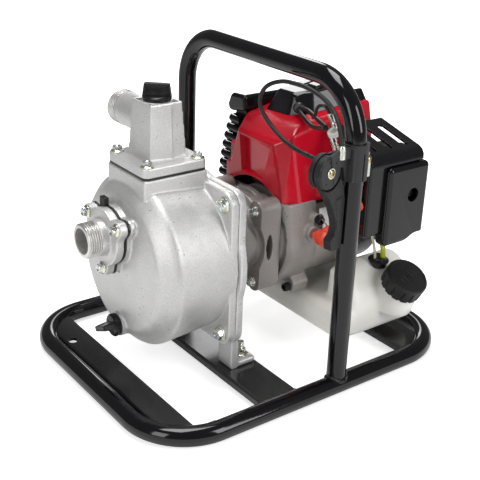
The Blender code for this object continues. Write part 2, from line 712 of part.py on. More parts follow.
def cylinder():
    """The finned barrel with its exhaust boss, intake boss and plug hole."""
    column = (CYLINDER_X, AXIS_Y)
    base = DECK_Z + GAP
    pieces = [block((CYLINDER_X - 21, CYLINDER_X + 21), (AXIS_Y - 31, AXIS_Y + 31),
                    (base, base + 6)),
              block((CYLINDER_X - 11, CYLINDER_X + 11), (AXIS_Y + 15, AXIS_Y + 38), (182, 202)),
              block((CYLINDER_X - 9, CYLINDER_X + 9), (-47.5, AXIS_Y - 15), (174, 192))]
    for z in range(169, 220, 10):
        fin = prism(rounded_rectangle(column, 26, 32, 8, steps=1), "z", z, z + 2.4)
        pieces.append(fin)
    barrel = join(rod((*column, base + 0.01), (*column, HEAD_TOP), 22.4, sides=20), *pieces)
    barrel = cut(barrel, rod((*column, base - 5), (*column, 214.5), BORE_RADIUS, sides=24),
                 rod((*column, 210), (*column, HEAD_TOP + 5), 5.4, sides=14),
                 rod((CYLINDER_X, AXIS_Y + 10, 192), (CYLINDER_X, AXIS_Y + 50, 192), 7),
                 rod((CYLINDER_X, AXIS_Y - 10, 183), (CYLINDER_X, -60, 183), 6.5))
    part("cylinder", barrel, "engine casting")


def spark_plug():
    place = (CYLINDER_X, AXIS_Y, 0)
    plug = turned([(215.5, 0), (215.5, 5), (HEAD_TOP + GAP, 5), (HEAD_TOP + GAP, 9),
                   (230, 9), (230, 5), (243, 4.2), (243, 0)], place, (0, 0, 1), sides=14)
    part("spark_plug", plug, "white ceramic")


def shroud_corners(grow):
    """Corners of the engine shroud, moved out (or in, when negative) from its middle."""
    middle = Vector((76, 9, 200))
    rings = (((20, -44), (20, 62), (135, -44), (135, 62), 160, 160),
             ((15, -36), (15, 54), (136, -38), (136, 56), 222, 224),
             ((40, -31), (40, 46), (133, -34), (133, 48), 240, 254))
    points = []
    for *places, front_z, rear_z in rings:
        for i, (x, y) in enumerate(places):
            point = Vector((x, y, front_z if i < 2 else rear_z))
            away = point - middle
            points.append(point + Vector([grow * math.copysign(1, a) for a in away]))
    return points


def engine_shroud():
    """The red cover over the cylinder, open below, with openings for its two ports."""
    inner = [p if p.z > 170 else p - Vector((0, 0, 20)) for p in shroud_corners(-3)]
    shell = cut(soften(hull(shroud_corners(0)), 3),
                hull(inner),
                block((0, 200), (-80, 100), (140, 163.5)),
                along_x((0, 58), 55, sides=32),
                block((52, 118), (50, 80), (155, 230)),
                block((68, 106), (-70, -30), (168, 202)),
                along_x((111, 170), 59, sides=32),
                rod((CYLINDER_X, AXIS_Y, 230), (CYLINDER_X, AXIS_Y, 270), 12))
    part("engine_shroud", shell, "red plastic")


def top_cover():
    """The black cover over the spark plug, resting on the sloped top of the shroud."""
    dome = soften(hull([(58, 42, 234), (56, 0, 234), (71, -20, 236), (128, -28, 244), (128, 41, 244),
                        (64, 27, 261), (64, 2, 262), (77, -8, 263), (119, -15, 270), (119, 29, 270)]), 4)
    hollow = hull([(65, 35, 230), (64, 2, 230), (76, -12, 230), (121, -19, 238), (121, 34, 238),
                   (70, 21, 256), (70, 3, 257), (80, -2, 258), (113, -9, 264), (113, 23, 264)])
    dome = cut(dome, hollow, hull(shroud_corners(GAP)))
    part("top_cover", dome, "black plastic")


def muffler():
    box = cut(block((58, 112), (46.4, 86), (164, 226), 6),
              block((60.5, 109.5), (49, 83.5), (166.5, 223.5), 4),
              rod((CYLINDER_X, 40, 192), (CYLINDER_X, 55, 192), 7),
              rod((100, 80, 215), (100, 95, 215), 4.5))
    part("muffler", box, "machined steel")


def muffler_guard():
    """The louvred guard round the muffler."""
    side = 64.0
    top = 238.0
    bottom = 156.0
    shell = cut(block((38, 118), (side, 98), (bottom, top), 5),
                block((41, 115), (side - 9, 95), (bottom + 3, top - 3)))
    count = 6
    pitch = (top - bottom - 6) / (count + 1)
    slots = []
    for k in range(count):
        z = bottom + 5 + pitch * (k + 0.5)
        slots.append(block((30, 48), (side + 4, 110), (z, z + pitch * 0.45)))
    part("muffler_guard", cut(shell, *slots), "black plastic")


def ignition_coil():
    coil = join(block((29, 40), (AXIS_Y - 16, AXIS_Y + 16), (170, 176)),
                block((27, 43), (AXIS_Y - 10, AXIS_Y + 10), (171.5, 192), 1.5))
    part("ignition_coil", coil, "black plastic")


def carburettor():
    body = join(block((73, 97), (-73.5, -48), (170, 196), 2),
                rod((85, -61, 164), (85, -61, 172), 10))
    body = cut(body, rod((85, -90, 183), (85, -40, 183), 6.5),
               rod((85, -61, 188), (85, -61, 200), 2.9, sides=16))
    part("carburettor", body, "cast aluminium")


def throttle_arm():
    """The arm on the throttle spindle, with the barrel nipple that the cable pulls."""
    pivot = joint("throttle_arm_pivot", (85, -61, 196))
    arm = join(rod((85, -61, 190), (85, -61, 199), 2.6, sides=16),
               block((81, 103), (-64, -58), (197, 199.5), 0.8, 1),
               rod((99, -61, 197.2), (99, -61, 205), 3.8, sides=16))
    part("throttle_arm", arm, "zinc steel", pivot)


def air_filter_cover():
    """The deep air cleaner box with its raised front panel and screw recess."""
    box = block((70, 139), (-106, -76), (140, 221), 6)
    panel = block((91, 146), (-112.5, -98), (128, 210), 5)
    hollow = block((73, 136), (-103, -70), (143, 218), 4)
    cover = cut(join(box, panel), hollow, rod((125, -120, 178), (125, -108, 178), 7))
    part("air_filter_cover", cover, "black plastic")


def air_filter_base():
    plate = cut(block((75, 134), (-92, -74.5), (145, 216), 2),
                block((79, 130), (-100, -78), (149, 212)),
                rod((85, -90, 183), (85, -70, 183), 8))
    part("air_filter_base", plate, "black plastic")


def guard_plate():
    """The slotted black plate that bridges the air cleaner and the shroud."""
    front = (-110.0, 222.5)
    back = (-46.0, 236.0)
    thickness = 2.5
    outline = [front, back, (back[0], back[1] + thickness), (front[0], front[1] + thickness)]
    slots = [block((x, x + 9), (-98, -56), (210, 250)) for x in (78, 99, 120)]
    part("guard_plate", cut(prism(outline, "x", 70, 139), *slots), "black plastic")


def choke_lever():
    pivot = joint("choke_pivot", (69.7, CHOKE_Y, 172))
    lever = join(rod((69.7, CHOKE_Y, 172), (64.5, CHOKE_Y, 172), 4),
                 block((64.5, 67.5), (CHOKE_Y - 6.5, CHOKE_Y + 6.5), (167, 198), 1.2))
    part("choke_lever", lever, "orange rubber", pivot)


def tank_pieces(inset):
    """The low saddle under the engine and the raised end that carries the filler."""
    low, high = 24.0 + inset, 57.0 - inset
    wall = 98.0 - inset
    saddle = block((54 + inset, 160 - inset), (-wall, 50 - inset), (low, high), 9 - inset)
    outline = [(-wall, low), (-wall, 62), (-72, 88 + 6 - inset), (-54 - inset, 94 - inset),
               (-54 - inset, low)]
    raised = soften(prism(outline, "x", 74 + inset, 162 - inset), 7 - inset)
    return saddle, raised


def tilt(distance):
    """A point on the filler axis, at a distance inward from the cap's top."""
    return (CAP_TOP[0], CAP_TOP[1] + distance * math.sin(CAP_TILT),
            CAP_TOP[2] - distance * math.cos(CAP_TILT))


def fuel_tank():
    saddle, raised = tank_pieces(0)
    outer = join(saddle, raised, rod(tilt(CAP_SEAT + NECK_LENGTH), tilt(CAP_SEAT), NECK_RADIUS, sides=24))
    saddle, raised = tank_pieces(3)
    outer = cut(outer, join(saddle, raised), rod(tilt(NECK_LENGTH), tilt(0), NECK_BORE))
    part("fuel_tank", outer, "milky plastic")


def fuel_cap():
    """The ribbed filler cap and its seal, drawn off along the tilted neck as it turns."""
    out = Vector(tilt(0)) - Vector(tilt(1))
    slide = joint("cap_draw", tilt(CAP_SEAT))
    spin = joint("cap_spin", tilt(CAP_SEAT))
    part("fuel_cap_seal", ring(tilt(CAP_SEAT - GAP), out, NECK_BORE + 0.2, NECK_RADIUS - 0.3, 1.4), "black rubber", slide)
    bore = CAP_RADIUS - CAP_WALL
    shell = turned([(0, 0), (0, CAP_RADIUS), (-CAP_DEPTH, CAP_RADIUS), (-CAP_DEPTH, bore), (-3, bore), (-3, 0)],
                   CAP_TOP, out, sides=24)
    ribs = []
    count = 12
    for k in range(count):
        rib = block((CAP_RADIUS - 0.7, CAP_RADIUS + 0.7), (-0.9, 0.9), (1 - CAP_DEPTH, -2))
        turn = out.to_track_quat('Z', 'Y').to_matrix().to_4x4()
        rib.data.transform(Matrix.Translation(Vector(CAP_TOP) * MM) @ turn
                           @ Matrix.Rotation(math.tau * k / count, 4, 'Z'))
        ribs.append(rib)
    part("fuel_cap", join(shell, *ribs), "black plastic", spin)


def fuel_line():
    path = arc_path([(125, -68, 94.8), (125, -68, 118), (90, -66, 130), (85, -61, 162.4)],
                    8, steps=3)
    part("fuel_line", sweep(path, 2.5, (0, 1, 0.1), sides=8), "yellow hose")


def starter_housing():
    """The recoil starter cover with its post for the drum and its rope outlet."""
    front = 112.0
    cup = turned([(STARTER_REAR, 0), (STARTER_REAR, 50), (152, 58), (front, 58), (front, 54.5),
                  (150.5, 54.5), (STARTER_REAR - 3.5, 48), (STARTER_REAR - 3.5, 0)],
                 on_axis(0), (1, 0, 0), sides=28)
    cup = join(cup, rod((DRUM_X, ROPE_Y, 168), (DRUM_X, ROPE_Y, 184), 7),
               along_x((140, STARTER_REAR - 1), 5))
    cup = cut(cup, rod((DRUM_X, ROPE_Y, 150), (DRUM_X, ROPE_Y, 190), 2.4, sides=12))
    part("starter_housing", cup, "black plastic")


def starter():
    """Rope drum, rope and pull handle of the recoil starter."""
    spin = joint("drum_spin", on_axis(DRUM_X))
    drum = turned([(142, 5.1), (142, 22), (144.5, 22), (144.5, DRUM_RADIUS), (151.5, DRUM_RADIUS),
                   (151.5, 22), (154, 22), (154, 5.1)], on_axis(0), (1, 0, 0), closed=True)
    part("starter_drum", drum, "black plastic", spin)
    pull = joint("starter_pull", (DRUM_X, ROPE_Y, AXIS_Z))
    cord = rod((DRUM_X, ROPE_Y, AXIS_Z), (DRUM_X, ROPE_Y, 184.7), ROPE_RADIUS, sides=10)
    part("starter_rope", cord, "cord", pull)
    grip = join(block((DRUM_X - 6, DRUM_X + 6), (ROPE_Y - 17, ROPE_Y + 17), (190, 203), 4),
                rod((DRUM_X, ROPE_Y, 185), (DRUM_X, ROPE_Y, 194), 5, sides=20))
    part("starter_handle", grip, "black plastic", pull)


# ---------------------------------------------------------------- controls

def lever_frame():
    """Turns shapes made with their pivot at the origin, along Y, into the lever's place."""
    return Matrix.Translation(Vector(LEVER_HUB) * MM) @ Matrix.Rotation(LEVER_TURN, 4, 'Z')


def throttle_bracket():
    """The clamp round the handle leg with the disc that carries the lever."""
    place = lever_frame()
    leg = place.inverted() @ (Vector((HOOP_X, -HOOP_WIDTH / 2, LEVER_HUB[2])) * MM) / MM
    clamp = join(rod((leg.x, leg.y, -6), (leg.x, leg.y, 24), CLAMP_RADIUS, sides=24),
                 block((0, leg.x), (4.5, 7.4), (-8, 14), 0.8),
                 block((LEVER_RADIUS + 1.5, leg.x), (-7, 7), (-5, 20), 0.8),
                 rod((0, 4.4, 0), (0, 9, 0), LEVER_RADIUS, sides=24),
                 rod((0, -3.6, 0), (0, 6, 0), 3.0, sides=12))
    clamp.data.transform(place)
    part("throttle_bracket", cut(clamp, hoop_tube(TUBE_RADIUS + GAP)), "black plastic")


def throttle_lever():
    pivot = joint("lever_pivot", LEVER_HUB)
    disc = rod((0, -4, 0), (0, 4, 0), LEVER_RADIUS)
    blade = prism([(-13.5, -5), (14, -7), (20, -15), (23.4, -30), (23.4, -70), (21, -76), (8, -75),
                   (6, -65.5), (12.5, -60), (14.5, -54), (7, -35), (-2, -21)], "y", -3.4, 3.4)
    lever = cut(join(disc, blade), rod((0, -9, 0), (0, 9, 0), 3.3, sides=16))
    lever.data.transform(lever_frame())
    part("throttle_lever", lever, "black plastic", pivot)


def stop_button():
    press = joint("stop_press", (STOP_X, -65, STOP_Z))
    knob = join(rod((STOP_X, -80, STOP_Z), (STOP_X, -63, STOP_Z), 7.5, 8.5),
                rod((STOP_X, -64, STOP_Z), (STOP_X, -54.5, STOP_Z), 3.0, sides=16))
    part("stop_button", knob, "orange rubber", press)


# ---------------------------------------------------------------- assembly

def build():
    clear_scene()
    base_loop()
    handle_hoop()
    crossbar("front_crossbar", (-168, -138), hole=(-158, 72))
    crossbar("middle_crossbar", (-66, -24))
    crossbar("rear_crossbar", (118.5, 155))
    pump_body()
    pump_bracket()
    body_bolts()
    volute_casing()
    shaft_seal()
    inlet_parts()
    inlet_flap_valve()
    outlet_parts()
    priming_plug()
    drain_plug()
    rotor = joint("rotor", on_axis(0))
    impeller(rotor)
    pump_shaft(rotor)
    flywheel(rotor)
    crankshaft(rotor)
    coupling_housing()
    fan_housing()
    crankcase()
    crank_bearing("crank_bearing_front", (63, 71))
    crank_bearing("crank_bearing_rear", (98.5, 105.5))
    piston_group()
    cylinder()
    spark_plug()
    engine_shroud()
    top_cover()
    muffler()
    muffler_guard()
    ignition_coil()
    carburettor()
    throttle_arm()
    air_filter_base()
    air_filter_cover()
    guard_plate()
    choke_lever()
    fuel_tank()
    fuel_cap()
    fuel_line()
    starter_housing()
    starter()
    throttle_bracket()
    throttle_lever()
    stop_button()


build()
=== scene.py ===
"""Looks of the portable fire pump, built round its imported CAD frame.

Shapes are made in millimetres and scaled to metres when a piece is finished.
+X runs from the pump inlet to the starter, +Y to the muffler side, +Z up.
"""

import json
import math
import random

import bmesh
import bpy
from mathutils import Matrix, Quaternion, Vector, noise

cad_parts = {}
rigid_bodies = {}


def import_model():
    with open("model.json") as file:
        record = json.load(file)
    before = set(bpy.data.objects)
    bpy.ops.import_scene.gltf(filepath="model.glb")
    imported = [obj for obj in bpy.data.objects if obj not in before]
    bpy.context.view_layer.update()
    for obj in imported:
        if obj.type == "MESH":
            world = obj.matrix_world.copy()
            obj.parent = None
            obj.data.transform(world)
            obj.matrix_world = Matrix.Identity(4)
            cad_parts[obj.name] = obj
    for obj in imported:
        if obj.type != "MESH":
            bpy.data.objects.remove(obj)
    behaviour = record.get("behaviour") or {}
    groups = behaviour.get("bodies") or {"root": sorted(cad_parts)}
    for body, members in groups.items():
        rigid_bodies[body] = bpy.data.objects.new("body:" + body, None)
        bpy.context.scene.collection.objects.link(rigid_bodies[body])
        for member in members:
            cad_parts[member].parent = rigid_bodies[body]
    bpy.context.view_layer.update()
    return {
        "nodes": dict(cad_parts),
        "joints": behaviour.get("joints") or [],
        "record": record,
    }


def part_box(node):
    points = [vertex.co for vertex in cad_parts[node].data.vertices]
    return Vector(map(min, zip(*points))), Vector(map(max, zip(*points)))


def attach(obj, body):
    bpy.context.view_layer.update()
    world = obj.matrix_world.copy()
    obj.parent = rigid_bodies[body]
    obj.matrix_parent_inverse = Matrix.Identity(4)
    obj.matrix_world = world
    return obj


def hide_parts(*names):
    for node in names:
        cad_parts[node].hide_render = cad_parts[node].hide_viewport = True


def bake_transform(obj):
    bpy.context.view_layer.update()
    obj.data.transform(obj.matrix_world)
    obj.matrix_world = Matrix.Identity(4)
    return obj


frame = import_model()

MM = 0.001
ON_AXIS = 0.02
JOINTS = {joint["name"]: joint for joint in frame["joints"]}


def pivot(joint):
    """The place of a hinge, in millimetres."""
    return Vector(JOINTS[joint]["pos_m"]) / MM


def low(node):
    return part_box(node)[0] / MM


def high(node):
    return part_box(node)[1] / MM


def middle(node):
    return (low(node) + high(node)) / 2


SHAFT = pivot("rotor_spin")
AXIS_Y = SHAFT.y
AXIS_Z = SHAFT.z


# ---------------------------------------------------------------- shape tools

def to_object(bm):
    """Turn a finished bmesh into an object with its faces pointing out."""
    bmesh.ops.recalc_face_normals(bm, faces=bm.faces[:])
    mesh = bpy.data.meshes.new("shape")
    bm.to_mesh(mesh)
    bm.free()
    obj = bpy.data.objects.new("shape", mesh)
    bpy.context.scene.collection.objects.link(obj)
    return obj


def block(x, y, z, bevel=0.0, segments=4):
    """A box between three (low, high) pairs, with its edges rounded by bevel."""
    bm = bmesh.new()
    bmesh.ops.create_cube(bm, size=1.0)
    for vert in bm.verts:
        for i, (start, end) in enumerate((x, y, z)):
            vert.co[i] = end if vert.co[i] > 0 else start
    if bevel:
        bmesh.ops.bevel(bm, geom=bm.edges[:], offset=bevel, segments=segments,
                        profile=0.5, affect='EDGES')
    return to_object(bm)


def prism(outline, axis, start, end):
    """A flat outline in the plane across axis, extruded from start to end."""
    order = {"x": lambda a, b: (start, a, b), "y": lambda a, b: (a, start, b),
             "z": lambda a, b: (a, b, start)}[axis]
    step = Vector([end - start if axis == name else 0.0 for name in "xyz"])
    bm = bmesh.new()
    face = bm.faces.new([bm.verts.new(order(a, b)) for a, b in outline])
    grown = bmesh.ops.extrude_face_region(bm, geom=[face])
    moved = [item for item in grown["geom"] if isinstance(item, bmesh.types.BMVert)]
    bmesh.ops.translate(bm, verts=moved, vec=step)
    return to_object(bm)


def lathe(profile, base=(0, 0, 0), direction=(0, 0, 1), sides=64, closed=False, ripple=None):
    """Spin (distance, radius) pairs about a line. ripple(distance, radius, turn) adds to the radius."""
    axis = Vector(direction).normalized()
    side = axis.orthogonal().normalized()
    across = axis.cross(side)
    bm = bmesh.new()
    rows = []
    for along, radius in profile:
        centre = Vector(base) + axis * along
        if radius < ON_AXIS:
            rows.append([bm.verts.new(centre)])
            continue
        row = []
        for k in range(sides):
            turn = math.tau * k / sides
            reach = radius + (ripple(along, radius, turn) if ripple else 0.0)
            row.append(bm.verts.new(centre + (side * math.cos(turn) + across * math.sin(turn)) * reach))
        rows.append(row)
    pairs = list(zip(rows, rows[1:]))
    if closed:
        pairs.append((rows[-1], rows[0]))
    for one, two in pairs:
        for k in range(sides):
            nxt = (k + 1) % sides
            corners = [one[k % len(one)], one[nxt % len(one)], two[nxt % len(two)], two[k % len(two)]]
            corners = list(dict.fromkeys(corners))
            if len(corners) > 2:
                bm.faces.new(corners)
    return to_object(bm)


def rod(start, end, radius, end_radius=None, sides=48):
    """A cylinder or cone between two points."""
    along = Vector(end) - Vector(start)
    far = radius if end_radius is None else end_radius
    return lathe([(0, 0), (0, radius), (along.length, far), (along.length, 0)], start, along, sides)


def hull(points):
    """The convex solid around a few corner points."""
    bm = bmesh.new()
    for point in points:
        bm.verts.new(point)
    bmesh.ops.convex_hull(bm, input=bm.verts[:])
    bmesh.ops.dissolve_limit(bm, angle_limit=0.01, verts=bm.verts[:], edges=bm.edges[:])
    return to_object(bm)


def soften(obj, width, segments=4, angle=20.0):
    """Round a solid's edges that are sharper than angle, given in degrees."""
    modifier = obj.modifiers.new("bevel", 'BEVEL')
    modifier.width = width
    modifier.segments = segments
    modifier.limit_method = 'ANGLE'
    modifier.angle_limit = math.radians(angle)
    modifier.use_clamp_overlap = True
    bake(obj)
    return obj


def sweep(points, radius, sides=16, closed=False, up=None):
    """A round tube along a path. radius is a number, or a function of the share along the path."""
    points = [Vector(point) for point in points]
    count = len(points)
    radius_at = radius if callable(radius) else lambda share: radius
    bm = bmesh.new()
    rings = []
    side = None
    for i, point in enumerate(points):
        before = points[i - 1] if i or closed else point
        after = points[(i + 1) % count] if i + 1 < count or closed else point
        tangent = (after - before).normalized()
        if up:
            side = tangent.cross(Vector(up)).normalized()
        elif side is None:
            side = tangent.orthogonal().normalized()
        side = (side - tangent * side.dot(tangent)).normalized()
        lift = side.cross(tangent)
        size = radius_at(i / (count - 1))
        turns = [math.tau * k / sides for k in range(sides)]
        rings.append([bm.verts.new(point + (side * math.cos(t) + lift * math.sin(t)) * size) for t in turns])
    joins = list(zip(rings, rings[1:]))
    if closed:
        joins.append((rings[-1], rings[0]))
    else:
        bm.faces.new(rings[0])
        bm.faces.new(rings[-1])
    for ring, following in joins:
        for k in range(sides):
            nxt = (k + 1) % sides
            bm.faces.new((ring[k], ring[nxt], following[nxt], following[k]))
    return to_object(bm)


def arc_path(corners, radius, steps=10, closed=False):
    """The path through corners with each inner corner rounded to radius."""
    corners = [Vector(corner) for corner in corners]
    path = []
    for i, corner in enumerate(corners):
        if not closed and i in (0, len(corners) - 1):
            path.append(corner)
            continue
        back = (corners[i - 1] - corner).normalized()
        ahead = (corners[(i + 1) % len(corners)] - corner).normalized()
        half = back.angle(ahead) / 2
        centre = corner + (back + ahead).normalized() * radius / math.sin(half)
        first = corner + back * radius / math.tan(half) - centre
        last = corner + ahead * radius / math.tan(half) - centre
        turn = first.rotation_difference(last)
        path += [centre + Quaternion().slerp(turn, k / steps) @ first for k in range(steps + 1)]
    return path


def flowing_path(points, spacing):
    """A smooth curve through the points, with a vertex about every spacing."""
    points = [Vector(point) for point in points]
    padded = [points[0] * 2 - points[1], *points, points[-1] * 2 - points[-2]]
    path = [points[0]]
    for a, b, c, d in zip(padded, padded[1:], padded[2:], padded[3:]):
        steps = max(2, round((c - b).length / spacing))
        for k in range(1, steps + 1):
            t = k / steps
            path.append((2 * b + (c - a) * t + (2 * a - 5 * b + 4 * c - d) * t * t
                         + (3 * b - a - 3 * c + d) * t ** 3) / 2)
    return path


def rounded_outline(corners, radius, steps=6):
    """A flat closed outline with each corner rounded."""
    path = arc_path([(a, b, 0.0) for a, b in corners], radius, steps, closed=True)
    return [(point.x, point.y) for point in path]


def rounded_rectangle(centre, half_a, half_b, radius, steps=6):
    signs = ((1, 1), (-1, 1), (-1, -1), (1, -1))
    return rounded_outline([(centre[0] + a * half_a, centre[1] + b * half_b) for a, b in signs], radius, steps)


def rounded_profile(points, radius, steps=4):
    """A lathe profile with its inner corners rounded."""
    return [(point.x, point.y) for point in arc_path([(*point, 0.0) for point in points], radius, steps)]


def bake(obj):
    """Replace an object's mesh by what its modifiers make of it."""
    depsgraph = bpy.context.evaluated_depsgraph_get()
    mesh = bpy.data.meshes.new_from_object(obj.evaluated_get(depsgraph))
    obj.modifiers.clear()
    obj.data = mesh


def combine(base, tools, operation):
    for tool in tools:
        modifier = base.modifiers.new(operation.lower(), 'BOOLEAN')
        modifier.operation = operation
        modifier.solver = 'EXACT'
        modifier.object = tool
    bake(base)
    for tool in tools:
        bpy.data.objects.remove(tool, do_unlink=True)
    return base


def join(base, *tools):
    return combine(base, tools, 'UNION')


def cut(base, *tools):
    return combine(base, tools, 'DIFFERENCE')


def keep_inside(base, tool):
    return combine(base, [tool], 'INTERSECT')


def cast(obj, voxel=1.1, rounds=5, rough=0.0, rough_size=9.0):
    """Remesh a solid finely and relax it, so that its edges and corners get cast fillets."""
    modifier = obj.modifiers.new("remesh", 'REMESH')
    modifier.mode = 'VOXEL'
    modifier.voxel_size = voxel
    relax = obj.modifiers.new("relax", 'SMOOTH')
    relax.factor = 0.5
    relax.iterations = rounds
    bake(obj)
    if rough:
        normals = [vert.normal.copy() for vert in obj.data.vertices]
        for vert, normal in zip(obj.data.vertices, normals):
            vert.co += normal * rough * noise.noise(vert.co / rough_size)
    return obj


def transformed(obj, matrix):
    obj.data.transform(matrix)
    return obj


def aimed(place, direction, spin=0.0):
    """A matrix that takes a shape standing on the origin along +Z to place, pointing along direction."""
    turn = Vector(direction).to_track_quat('Z', 'Y').to_matrix().to_4x4()
    return Matrix.Translation(Vector(place)) @ turn @ Matrix.Rotation(spin, 4, 'Z')


def piece(name, obj, finish, body="chassis", stands_for=(), crisp=35.0, weighted=True):
    """Scale a finished shape to metres, name it, and hang it on its CAD body."""
    obj.name = name
    obj.data.name = name
    obj.data.transform(Matrix.Scale(MM, 4))
    obj.data.materials.clear()
    obj.data.materials.append(finish)
    obj.data.shade_smooth()
    obj.data.set_sharp_from_angle(angle=math.radians(crisp))
    if weighted:
        modifier = obj.modifiers.new("weighted normals", 'WEIGHTED_NORMAL')
        modifier.keep_sharp = True
    if body:
        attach(obj, body)
    if stands_for:
        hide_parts(*stands_for)
    return obj


def copies(name, obj, matrices, finish, body="chassis"):
    """Several identical pieces that share one mesh, each at its own matrix in millimetres."""
    for i, matrix in enumerate(matrices):
        twin = obj if i == 0 else bpy.data.objects.new(name, obj.data)
        if i:
            bpy.context.scene.collection.objects.link(twin)
        else:
            piece(f"{name}_1", obj, finish, body, weighted=False)
            obj.parent = None
        shift = Matrix.Translation(matrix.translation * (MM - 1)) @ matrix
        twin.name = f"{name}_{i + 1}"
        twin.matrix_world = shift
        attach(twin, body)


def on_axis(x, dy=0.0, dz=0.0):
    return Vector((x, AXIS_Y + dy, AXIS_Z + dz))


def along_x(x, radius, dy=0.0, dz=0.0, sides=64):
    return rod(on_axis(x[0], dy, dz), on_axis(x[1], dy, dz), radius, sides=sides)


def corners_of(offset):
    """The four diagonal places at +-offset about the shaft line."""
    return [(a * offset, b * offset) for a, b in ((-1, 1), (-1, -1), (1, -1), (1, 1))]


# ---------------------------------------------------------------- materials

class Finish:
    """A Principled material with noise-driven colour, roughness and relief."""

    def __init__(self, name):
        self.material = bpy.data.materials.new(name)
        self.material.use_nodes = True
        self.tree = self.material.node_tree
        self.shader = self.tree.nodes["Principled BSDF"]
        self.place = self.tree.nodes.new("ShaderNodeTexCoord").outputs["Object"]
        self.normal = None

    def node(self, kind, sockets=None, **settings):
        made = self.tree.nodes.new(kind)
        for key, value in settings.items():
            setattr(made, key, value)
        for key, value in (sockets or {}).items():
            self.feed(made.inputs[key], value)
        return made

    def feed(self, socket, value):
        if isinstance(value, bpy.types.NodeSocket):
            self.tree.links.new(value, socket)
        else:
            socket.default_value = value

    def grain(self, size, detail=3.0, stretch=None):
        """Noise whose features are about size millimetres wide, running from 0 to 1."""
        place = self.place
        if stretch:
            place = self.node("ShaderNodeVectorMath", {0: place, 1: stretch}, operation='MULTIPLY').outputs[0]
        made = self.node("ShaderNodeTexNoise", {"Vector": place, "Scale": 1 / (size * MM), "Detail": detail})
        return made.outputs["Fac"]

    def spread(self, value, start, end, low_to=0.0, high_to=1.0):
        made = self.node("ShaderNodeMapRange", {"Value": value, "From Min": start, "From Max": end,
                                                "To Min": low_to, "To Max": high_to})
        return made.outputs["Result"]

    def maths(self, operation, one, two):
        return self.node("ShaderNodeMath", {0: one, 1: two}, operation=operation).outputs[0]

    def mix(self, share, one, two, mode='MIX'):
        made = self.node("ShaderNodeMix", data_type='RGBA', blend_type=mode)
        self.feed(made.inputs["Factor"], share)
        for key, value in (("A", one), ("B", two)):
            socket = next(s for s in made.inputs if s.name == key and s.type == 'RGBA')
            self.feed(socket, (*value, 1.0) if isinstance(value, tuple) else value)
        return next(s for s in made.outputs if s.type == 'RGBA')

    def relief(self, height, depth, strength=1.0):
        """Raise the surface by up to depth millimetres."""
        made = self.node("ShaderNodeBump", {"Height": height, "Distance": depth * MM, "Strength": strength})
        if self.normal:
            self.feed(made.inputs["Normal"], self.normal)
        self.normal = made.outputs["Normal"]

    def edges(self, start=0.52, end=0.58):
        """1 along convex edges, 0 elsewhere."""
        return self.spread(self.node("ShaderNodeNewGeometry").outputs["Pointiness"], start, end)

    def done(self, **sockets):
        for key, value in sockets.items():
            self.feed(self.shader.inputs[key.replace("_", " ").title()], value)
        if self.normal:
            self.feed(self.shader.inputs["Normal"], self.normal)
        return self.material


def shade(colour, factor):
    return tuple(min(1.0, channel * factor) for channel in colour)


def casting(name, colour, roughness, metallic, pit_colour):
    """Die-cast metal: fine sandy grain, cloudy tone, dark pits and brighter edges."""
    made = Finish(name)
    fine = made.grain(0.9, 4.0)
    cloud = made.grain(30.0, 3.0)
    tone = made.mix(made.spread(cloud, 0.3, 0.7), shade(colour, 0.93), shade(colour, 1.05))
    tone = made.mix(made.spread(fine, 0.30, 0.72), made.mix(1.0, tone, (0.74, 0.74, 0.74), 'MULTIPLY'), tone)
    cells = made.node("ShaderNodeTexVoronoi", {"Vector": made.place, "Scale": 1 / (5.5 * MM)})
    dots = made.spread(cells.outputs["Distance"], 0.12, 0.07)
    patches = made.spread(made.grain(30.0, 2.0), 0.54, 0.60)
    pits = made.maths('MULTIPLY', dots, patches)
    tone = made.mix(pits, tone, pit_colour)
    edges = made.edges(0.515, 0.56)
    tone = made.mix(made.maths('MULTIPLY', edges, 0.7), tone, shade(colour, 1.22))
    made.relief(made.grain(5.0, 2.0), 0.16, 0.7)
    made.relief(fine, 0.20, 0.8)
    made.relief(pits, -0.3)
    rough = made.spread(cloud, 0.3, 0.7, roughness * 0.9, roughness * 1.12)
    return made.done(base_color=tone, roughness=rough, metallic=metallic)


def plastic(name, colour, roughness, texture=0.0, texture_size=0.6, coat=0.0, scuffs=0.3, edge=1.6):
    """Moulded plastic: faint texture, uneven gloss, and convex edges painted lighter as a painted highlight."""
    made = Finish(name)
    cloud = made.grain(18.0, 4.0)
    fine = made.grain(texture_size, 3.0)
    tone = made.mix(made.spread(cloud, 0.3, 0.7), shade(colour, 0.88), shade(colour, 1.10))
    tone = made.mix(made.spread(fine, 0.55, 0.8), tone, shade(colour, 1.25))
    # painted highlight: convex edges are lightened by the edge factor to stand in for highlight lines along the bevels
    tone = made.mix(made.edges(0.53, 0.62), tone, shade(colour, edge))
    streaks = made.grain(3.0, 5.0, stretch=(0.25, 1.0, 1.0))
    rough = made.spread(streaks, 0.35, 0.75, roughness * (1 - scuffs * 0.5), roughness * (1 + scuffs))
    if texture:
        made.relief(fine, texture, 0.8)
    made.relief(made.grain(12.0, 2.0), 0.05, 0.5)
    made.shader.inputs["Specular IOR Level"].default_value = 0.35
    return made.done(base_color=tone, roughness=rough, coat_weight=coat, coat_roughness=0.06)


def enamel():
    """Glossy black paint on tube: faint orange peel and the odd speck of dust."""
    made = Finish("black enamel")
    specks = made.spread(made.grain(0.9, 1.0), 0.74, 0.80)
    tone = made.mix(specks, (0.004, 0.004, 0.005), (0.04, 0.04, 0.04))
    cloud = made.grain(22.0, 3.0)
    made.relief(made.grain(2.6, 2.0), 0.035, 0.6)
    rough = made.spread(cloud, 0.3, 0.7, 0.07, 0.13)
    made.shader.inputs["Specular IOR Level"].default_value = 0.4
    return made.done(base_color=tone, roughness=rough, coat_weight=0.15, coat_roughness=0.05)


